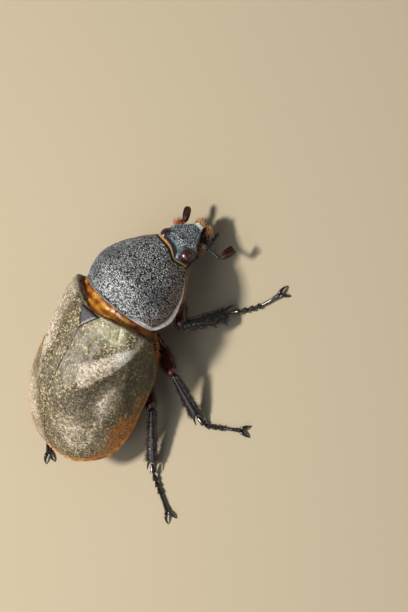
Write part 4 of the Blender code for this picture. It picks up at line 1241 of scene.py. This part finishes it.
# thigh width and thickness along the thigh, then the shin's thickness
FRONT_SIZES = ((1.5, 1.7, 1.95, 1.45, 1.3), (1.2, 1.25, 1.25, 1.15, 1.05), (0.9, 0.95, 0.9))
OTHER_SIZES = ((1.5, 1.7, 1.95, 1.35, 1.05), (1.2, 1.25, 1.25, 1.0, 0.85), (0.7, 0.75, 0.85))
SPUR_GIRTH, SPINE_GIRTH = 0.36, 0.15
SPUR_REACH = 1.8
SPINE_ROWS = (0.4, 0.71, 0.97)
CLAW_LENGTH = 2.6
CLAW_SPLAY = 28
CLAW_TIP_HEIGHT = 0.08


def toothed(stations, edge):
    """A straight-sided outline through a few (station, size) pairs."""
    return lambda t: np.interp(t, stations, edge)


def shin_widths(name):
    """The toothed edge and the inner edge of a shin, wider and blunter on the front legs."""
    if name.startswith("front"):
        edge = toothed(
            (0, 0.12, 0.28, 0.44, 0.475, 0.52, 0.64, 0.675, 0.72, 0.87, 0.91, 0.96, 1.0),
            (0.95, 1.15, 1.3, 1.8, 1.95, 1.35, 1.95, 2.15, 1.45, 2.25, 2.45, 1.8, 0.9),
        )
        return edge, profile((0, 0.12, 0.4, 1), (0.9, 1.1, 1.15, 1.2))
    edge = toothed(
        (0, 0.12, 0.35, 0.39, 0.42, 0.66, 0.70, 0.73, 0.95, 1.0),
        (0.7, 0.8, 1.2, 1.45, 1.0, 1.5, 1.75, 1.2, 1.6, 1.1),
    )
    return edge, profile((0, 0.4, 0.92, 1), (0.7, 0.95, 1.35, 1.1))


def foot_width(t):
    """Five cones in a row, each wider at its far end."""
    stations, sizes, start = [], [], 0.0
    for joint, share in enumerate(TARSUS_SHARES):
        last = joint == len(TARSUS_SHARES) - 1
        stations += [start, start + 0.03, start + 0.55 * share, start + share - 0.02, start + share - 0.004]
        sizes += [0.2, 0.36, 0.36 if last else 0.5, 0.58 if last else 0.66, 0.42]
        start += share
    return np.interp(t, stations, sizes)


def spine(start, end, girth, bow=None):
    """A tapered spine, with a slight bow if one is given."""
    points = (start, start.lerp(end, 0.5) + bow, end) if bow else (start, end)
    width = profile((0, 0.5, 1), (girth, girth * 0.72, girth * 0.22))
    return tube(12, 18, rod(points, width, caps=(0.1, 0.08)))


thigh_red = chitin("thigh", (0.022, 0.003, 0.003), (0.095, 0.010, 0.007), 1.0, 0.07, (0.18, 0.32))
shin_black = chitin("shin and foot", (0.003, 0.0025, 0.0025), (0.014, 0.006, 0.005), 0.8, 0.09, (0.2, 0.36))
claw_width = profile((0, 0.3, 0.75, 1), (0.4, 0.4, 0.22, 0.07))
LEG_PARTS = {}
for name, (bones, foot) in LEGS.items():
    hip, knee, ankle = (Vector(bone) for bone in bones)
    foot = [Vector(point) for point in foot]
    ahead = (knee - hip).normalized()
    shin = (ankle - knee).normalized()
    right = name.endswith("right")
    front = name.startswith("front")
    thigh_wide, thigh_thick, shin_thick = FRONT_SIZES if front else OTHER_SIZES

    wide = profile((0, 0.25, 0.55, 0.85, 1), thigh_wide)
    thigh_rod = rod((hip, knee - ahead * 0.1), wide, wide, profile((0, 0.25, 0.6, 0.9, 1), thigh_thick),
                    UPRIGHT, caps=(0.05, 0.06))
    thigh = tube(56, 90, thigh_rod)
    spots, u, v = places(thigh)
    raise_by(thigh, 0.04 * waves(spots, 1.3, 3) - 0.1 * hump(v, 0.9, 0.02))
    inward = Vector((-hip.x, 0.0, 0.0)).normalized()
    hip_ends = (hip + inward * 1.2 + UPRIGHT * 0.6, hip + ahead * 2.2)
    hip_joint = rod(hip_ends, steady(2.0), thick=steady(1.7), flat=UPRIGHT, caps=(0.5, 0.5))
    ring_ends = (hip + ahead * 1.3, hip + ahead * 3.4)
    ring = rod(ring_ends, steady(1.85), thick=steady(1.45), flat=UPRIGHT, caps=(0.5, 0.5))
    body = gather([thigh, tube(40, 30, hip_joint), tube(40, 24, ring)])
    make_piece(f"{name}_thigh", body, root, thigh_red, [f"{name}_femur"])

    edge, inner = shin_widths(name)
    widths = (edge, inner) if right else (inner, edge)
    shin_rod = rod((knee, ankle), *widths, profile((0, 0.3, 1), shin_thick), UPRIGHT, caps=(0.06, 0.04))
    blade = tube(48, 150, shin_rod)
    spots, u, v = places(blade)
    ridges = hump(np.abs(np.sin(2 * math.pi * u)), 1.0, 0.12)
    raise_by(blade, 0.04 * waves(spots, 0.7, 3) + 0.06 * ridges)
    lean = shin.cross(UPRIGHT).normalized() * (-1 if right else 1)
    parts = [blade]
    for spur_lean in [lean] if front else [lean, lean * -0.9]:
        start = ankle - shin * 0.7 + spur_lean * 0.5
        end = ankle + shin * SPUR_REACH + spur_lean * 1.35
        parts.append(spine(start, end, SPUR_GIRTH, spur_lean * 0.15))
    for share in () if front else SPINE_ROWS:
        for turn in range(-2, 3):
            out = lean * -math.cos(turn * 0.6) + UPRIGHT * 0.75 * math.sin(turn * 0.6)
            start = knee.lerp(ankle, share - 0.02) + out * 0.85
            parts.append(spine(start, start + out * 0.75 + shin * 0.75, SPINE_GIRTH))
    make_piece(f"{name}_shin", gather(parts), root, shin_black, [f"{name}_tibia"])

    foot_rod = rod((ankle.lerp(foot[0], 0.12), *foot), foot_width, caps=(0.02, 0.02))
    parts = [tube(28, 240, foot_rod)]
    heading = (foot[-1] - foot[-2]).normalized()
    start = foot[-1] - heading * 0.5
    for splay in (-CLAW_SPLAY, CLAW_SPLAY):
        out = turned(splay, "Z") @ heading
        tip = start + out * CLAW_LENGTH + heading * 0.2
        tip.z = CLAW_TIP_HEIGHT
        points = (start, start + out * 1.0 + UPRIGHT * 0.36, start + out * 1.9 + UPRIGHT * 0.2, tip)
        parts.append(tube(16, 36, rod(points, claw_width, caps=(0.1, 0.05))))
    make_piece(f"{name}_foot", gather(parts), root, shin_black, [f"{name}_tarsus"])
    LEG_PARTS[name] = (thigh_rod, shin_rod, foot_rod)


# ---------------------------------------------------------------- collar of the pronotum
# A thin amber flange runs along the front margin of the pronotum, over the neck, and
# carries a close row of short golden hairs that lie forward on the head.

COLLAR_START, COLLAR_REACH = 0.975, 0.043
COLLAR_SINK, COLLAR_LIFT = 0.16, 0.35
COLLAR_THICKNESS = 0.14


def collar_surface(u, v):
    """Runs on from the front margin of the pronotum, a little below its face."""
    margin = pronotum_surface(0.01 + 0.98 * u, COLLAR_START + COLLAR_REACH * v)
    return margin - np.stack([0 * u, 0 * u, COLLAR_SINK - COLLAR_LIFT * v], 1)


bm = sheet(220, 10, collar_surface)
face_out(bm)
bmesh.ops.solidify(bm, geom=bm.faces[:], thickness=COLLAR_THICKNESS)
bmesh.ops.recalc_face_normals(bm, faces=bm.faces)
rust = finish("amber collar", Coat_Weight=0.5, Coat_Roughness=0.2, Roughness=0.4)
mottle(rust, 0.8, 3.0, (0.35, (0.74, 0.20, 0.020)), (0.62, (1.0, 0.50, 0.14)))
make_piece("front_collar", bm, prothorax, rust, [])


# ---------------------------------------------------------------- hair and bristles
# Golden hair fringes the collar, the mouth and the underside. Stiff dark red bristles stand
# on the legs, and short pale down lies back along the wing cases. Each hair grows from the
# chitin as a thin tapered spike, so it is a three-sided solid rooted a little under the skin.

# a hair's seven points: a ring of three at the root, three at the middle, and the tip
HAIR_FACES = (
    (2, 1, 0, 0), (0, 1, 4, 3), (1, 2, 5, 4), (2, 0, 3, 5), (3, 4, 6, 6), (4, 5, 6, 6), (5, 3, 6, 6),
)
# where those seven points lie on the bake map, from the hair's own place on it
HAIR_PATCH = (
    (0, 0), (0.0015, 0), (0.0008, 0.001), (0, 0.002), (0.0015, 0.002), (0.0008, 0.0025), (0.0008, 0.003),
)
TRIES_PER_HAIR = 14


def scatter(surface, count, seed, wanted):
    """Random places on a surface, more where wanted is high: place, normal, way along, u, v."""
    chance = np.random.default_rng(seed)
    u, v = 0.004 + 0.99 * chance.random((2, count * TRIES_PER_HAIR))
    here = surface(u, v)
    over_u, over_v = surface(u + 0.003, v) - here, surface(u, v + 0.003) - here
    normal = np.cross(over_u, over_v)
    area = np.linalg.norm(normal, axis=1) + 1e-12
    if (normal * (here - here.mean(0))).sum() < 0:
        normal = -normal
    share = area * wanted(u, v, here)
    kept = np.flatnonzero(chance.random(len(u)) * np.quantile(share, 0.995) < share)[:count]
    along = over_v[kept] / (np.linalg.norm(over_v[kept], axis=1)[:, None] + 1e-12)
    return here[kept], normal[kept] / area[kept][:, None], along, u[kept], v[kept]


def hairs(roots, seed, stand, along, length, girth, pull=(0, 0, 0), spread=0.25, droop=0.3, tile=(0, 0, 1)):
    """Tapered three-sided hairs: points, faces, bake places and one shade for each hair.

    stand and along weigh the skin's normal and its length; pull is a fixed way to lean.
    """
    place, normal, way, u, v = roots
    chance = np.random.default_rng(seed)
    count = len(place)
    first = normal * stand + way * along + np.array(pull) + spread * chance.normal(size=(count, 3))
    first /= np.linalg.norm(first, axis=1)[:, None]
    second = first + droop * (way * np.sign(along) + np.array(pull) - normal)
    second /= np.linalg.norm(second, axis=1)[:, None]
    across = np.cross(first, normal + 0.3)
    across /= np.linalg.norm(across, axis=1)[:, None]
    over = np.cross(first, across)
    size = length * (0.55 + 0.65 * chance.random(count))[:, None]
    start = place - normal * girth * 0.8
    middle = start + first * size * 0.5
    tip = middle + second * size * 0.5
    rings = []
    for centre, radius in ((start, girth / 2), (middle, girth * 0.36)):
        for turn in range(3):
            angle = 2 * math.pi * turn / 3
            rings.append(centre + (across * math.cos(angle) + over * math.sin(angle)) * radius)
    points = np.stack([*rings, tip], 1).reshape(-1, 3)
    faces = np.array(HAIR_FACES)[None] + 7 * np.arange(count)[:, None, None]
    column, row, tiles = tile
    root_uv = np.stack([(u + column) / tiles, (v + row) / tiles], 1)
    uv = (root_uv[:, None] + np.array(HAIR_PATCH)[None]).reshape(-1, 2)
    return points, faces.reshape(-1, 4), uv, np.repeat(chance.random(count), 7)


def tuft(surface, count, seeds, wanted, **growth):
    """Hairs over a surface; the first seed scatters them and the second shapes them."""
    return hairs(scatter(surface, count, seeds[0], wanted), seeds[1], **growth)


def coat(name, batches, place, material, slot):
    """Batches of hairs as one piece."""
    points, faces, uv, shades = zip(*batches)
    starts = np.cumsum([0, *map(len, points)])
    faces = np.concatenate([batch + start for batch, start in zip(faces, starts)])
    mesh = bpy.data.meshes.new(name)
    outline = [face[:3] if face[3] in (face[0], face[2]) else face for face in faces.tolist()]
    mesh.from_pydata((np.concatenate(points) * MM).tolist(), [], outline)
    corners = np.empty(len(mesh.loops), int)
    mesh.loops.foreach_get("vertex_index", corners)
    mesh.uv_layers.new(name="OFBake").data.foreach_set("uv", np.concatenate(uv)[corners].ravel())
    mesh.attributes.new("shade", "FLOAT", "POINT").data.foreach_set("value", np.concatenate(shades))
    mesh.transform(Matrix.Scale(MM, 4) @ place @ Matrix.Scale(1 / MM, 4))
    settle(name, mesh, material, [])


def hair_finish(name, *stops, roughness=0.35):
    """Hair whose colour differs from one hair to the next."""
    made = finish(name, Roughness=roughness, Sheen_Weight=0.15)
    drive(made, Base_Color=ramp(made, value_of(made, "shade"), *stops))
    return made


honey = hair_finish("collar hair", (0.0, (0.90, 0.35, 0.06)), (0.5, (1.0, 0.62, 0.22)),
                    (1.0, (1.0, 0.90, 0.62)))
golden = hair_finish("golden hair", (0.0, (0.50, 0.10, 0.010)), (0.5, (1.0, 0.36, 0.045)),
                     (1.0, (1.0, 0.72, 0.32)))
# Golden hairs whose palest shades, up to near white, are painted light shining through them.
backlit_gold = hair_finish("mouth bristles", (0.0, (0.80, 0.14, 0.010)), (0.4, (1.0, 0.50, 0.08)),
                     (0.8, (1.0, 0.86, 0.52)), (1.0, (1.0, 0.97, 0.85)))
rusty = hair_finish("cheek hair", (0.0, (0.34, 0.05, 0.006)), (0.5, (0.90, 0.17, 0.018)),
                    (1.0, (1.0, 0.42, 0.10)))
red_bristle = hair_finish("leg bristles", (0.0, (0.010, 0.003, 0.002)), (0.7, (0.045, 0.011, 0.006)),
                          (1.0, (0.20, 0.075, 0.025)))
down = hair_finish("wing case down", (0.0, (0.06, 0.045, 0.02)), (0.45, (0.30, 0.22, 0.11)),
                   (1.0, (0.76, 0.63, 0.40)), roughness=0.45)


def from_to(start, end):
    """More hair along the length, from none at start to most at end."""
    return lambda u, v, here: ease(v, start, end)


fringe = tuft(collar_surface, 2200, (11, 12), from_to(0.2, 0.9), stand=0.15, along=1.0,
              pull=(0, -0.2, -0.25), length=0.34, girth=0.045)
coat("collar_fringe", [fringe], prothorax, honey, "pronotum")


def on_cheek(side):
    """One side of the head below the plate, round the root of the feeler."""

    def wanted(u, v, here):
        below = ease(np.abs(u - 0.5), 0.26, 0.29) * (1 - ease(np.abs(u - 0.5), 0.38, 0.42))
        return below * ease(v, 0.56, 0.6) * (1 - ease(v, 0.66, 0.72)) * (here[:, 0] * side > 0)

    return wanted


def on_near_half(u, v, here):
    """The root end of a limb."""
    return 1 - ease(v, 0.4, 0.6)


def under_plate(u, v, here):
    """The underside of the plate over the mouth, near its tip."""
    return ease(np.abs(u - 0.5), 0.36, 0.42) * ease(v, 0.86, 0.94)


tufts = []
for name, side, seed, count, scape_hair, lean, length in (
    ("left", 1, 21, 420, from_to(0.15, 0.4), (0.8, -0.95, 0.35), 2.1),
    ("right", -1, 25, 150, on_near_half, (0.0, 0.5, -0.9), 1.1),
):
    tufts.append(tuft(head_surface, 260, (seed, 22), on_cheek(side), stand=0.7, along=0.2,
                      pull=(1.3 * side, -0.2, 0.7 * side), length=2.1, girth=0.06, spread=0.3))
    tufts.append(tuft(scapes[name], count, (seed + 2, 28), scape_hair, stand=0.4, along=0.0,
                      pull=lean, length=length, girth=0.08, spread=0.35))
coat("cheek_tufts", tufts, head, rusty, "mouthparts")
beard = [tuft(head_surface, 820, (23, 24), under_plate, stand=0.4, along=1.0, pull=(0, -0.9, 0.9),
              length=1.8, girth=0.085, spread=0.35)]
for name, seed, count, length in (("left", 31, 420, 1.4), ("right", 33, 260, 1.0)):
    beard.append(tuft(jaws[name], count, (seed, seed + 1), from_to(0.35, 0.7), stand=0.6, along=0.7,
                      pull=(0, -0.5, 0.7), length=length, girth=0.08, spread=0.35))
beard.append(tuft(rod(LIP_BENDS, steady(1.1)), 380, (35, 36), from_to(0.5, 0.9), stand=0.6, along=0.8,
                  pull=(0, -0.5, 0), length=1.1, girth=0.08, spread=0.35))
coat("mouth_bristles", beard, head, backlit_gold, "mouthparts")


def low_sides(u, v, here):
    """Everywhere below the widest line of the body."""
    return ease(np.abs(u - 0.5), 0.24, 0.3)


def in_rows(u, v, here):
    """Bands across the belly."""
    return low_sides(u, v, here) * (0.1 + np.sin(here[:, 1] * 2.2) ** 8)


def everywhere(u, v, here):
    """All over."""
    return 1.0 + 0 * u


shag = tuft(prothorax_surface, 2600, (41, 42), low_sides, stand=0.6, along=-0.5, pull=(0, 0, -0.2),
            length=1.5, girth=0.05, spread=0.3)
coat("fore_body_hair", [shag], prothorax, golden, "underside")
ring_surface = trunk_surface(THORAX_END, RINGS_END, TRUNK_INSET)
tail_surface = trunk_surface(28.6, TRUNK_END, TRUNK_INSET)
shag = [
    tuft(breast_surface, 3200, (43, 44), low_sides, stand=0.6, along=0.5, pull=(0, 0, -0.2),
         length=1.5, girth=0.05, spread=0.3),
    tuft(ring_surface, 1500, (45, 46), in_rows, stand=0.3, along=0.9, length=0.9, girth=0.045, spread=0.2),
    tuft(tail_surface, 900, (47, 48), everywhere, stand=0.5, along=0.7, pull=(0, 0.1, -0.2),
         length=0.8, girth=0.045, spread=0.25),
]
coat("trunk_hair", shag, stance, golden, "underside")


def on_flanks(u, v, here):
    """The two edges of a thigh, past its root."""
    return np.abs(np.cos(2 * math.pi * u)) ** 6 * ease(v, 0.3, 0.5)


def on_edges(u, v, here):
    """All round a shin, with most on its two edges."""
    return 0.25 + np.abs(np.cos(2 * math.pi * u)) ** 4


def on_joints(u, v, here):
    """All round a foot, with most above and below."""
    return 0.15 + np.sin(2 * math.pi * u - 0.3) ** 2


LEG_HAIR = (
    # count, where, the two seeds, and how the bristles of thigh, shin and foot grow
    (220, on_flanks, 60, 70, dict(stand=0.9, along=0.4, length=0.9, girth=0.06, spread=0.2)),
    (520, on_edges, 80, 90, dict(stand=0.7, along=0.8, length=1.15, girth=0.065, spread=0.2)),
    (260, on_joints, 100, 110,
     dict(stand=0.5, along=0.9, pull=(0, 0, 0.05), length=0.5, girth=0.05, spread=0.15)),
)
FLOOR_GAP = 0.02

stubble = []
for row, rods in enumerate(LEG_PARTS.values()):
    for column, (surface, (count, wanted, first, second, growth)) in enumerate(zip(rods, LEG_HAIR)):
        seeds = (first + row, second + row)
        stubble.append(tuft(surface, count, seeds, wanted, tile=(column, row, 6), **growth))
for points, *_rest in stubble:
    points[:, 2] = np.maximum(points[:, 2], FLOOR_GAP)
coat("leg_bristles", stubble, root, red_bristle, "shin_and_foot")


def on_open_field(u, v, here):
    """Clear of a wing case's borders, and thinner on the bare flank."""
    inside = ease(u, 0.01, 0.04) * ease(v, 0.015, 0.05) * (1 - ease(u, 0.95, 0.98))
    return inside * (1 - 0.75 * np.maximum(rusty_flank(u, v), shade_flank(u, v)))


for name, seeds in (("left", (131, 132)), ("right", (133, 134))):
    lying = tuft(elytron_surface(SIDES[name]), 12000, seeds, on_open_field, stand=0.22, along=1.0,
                 length=0.38, girth=0.038, spread=0.2, droop=0.1)
    coat(f"wing_case_down_{name}", [lying], stance, down, "wing_case")
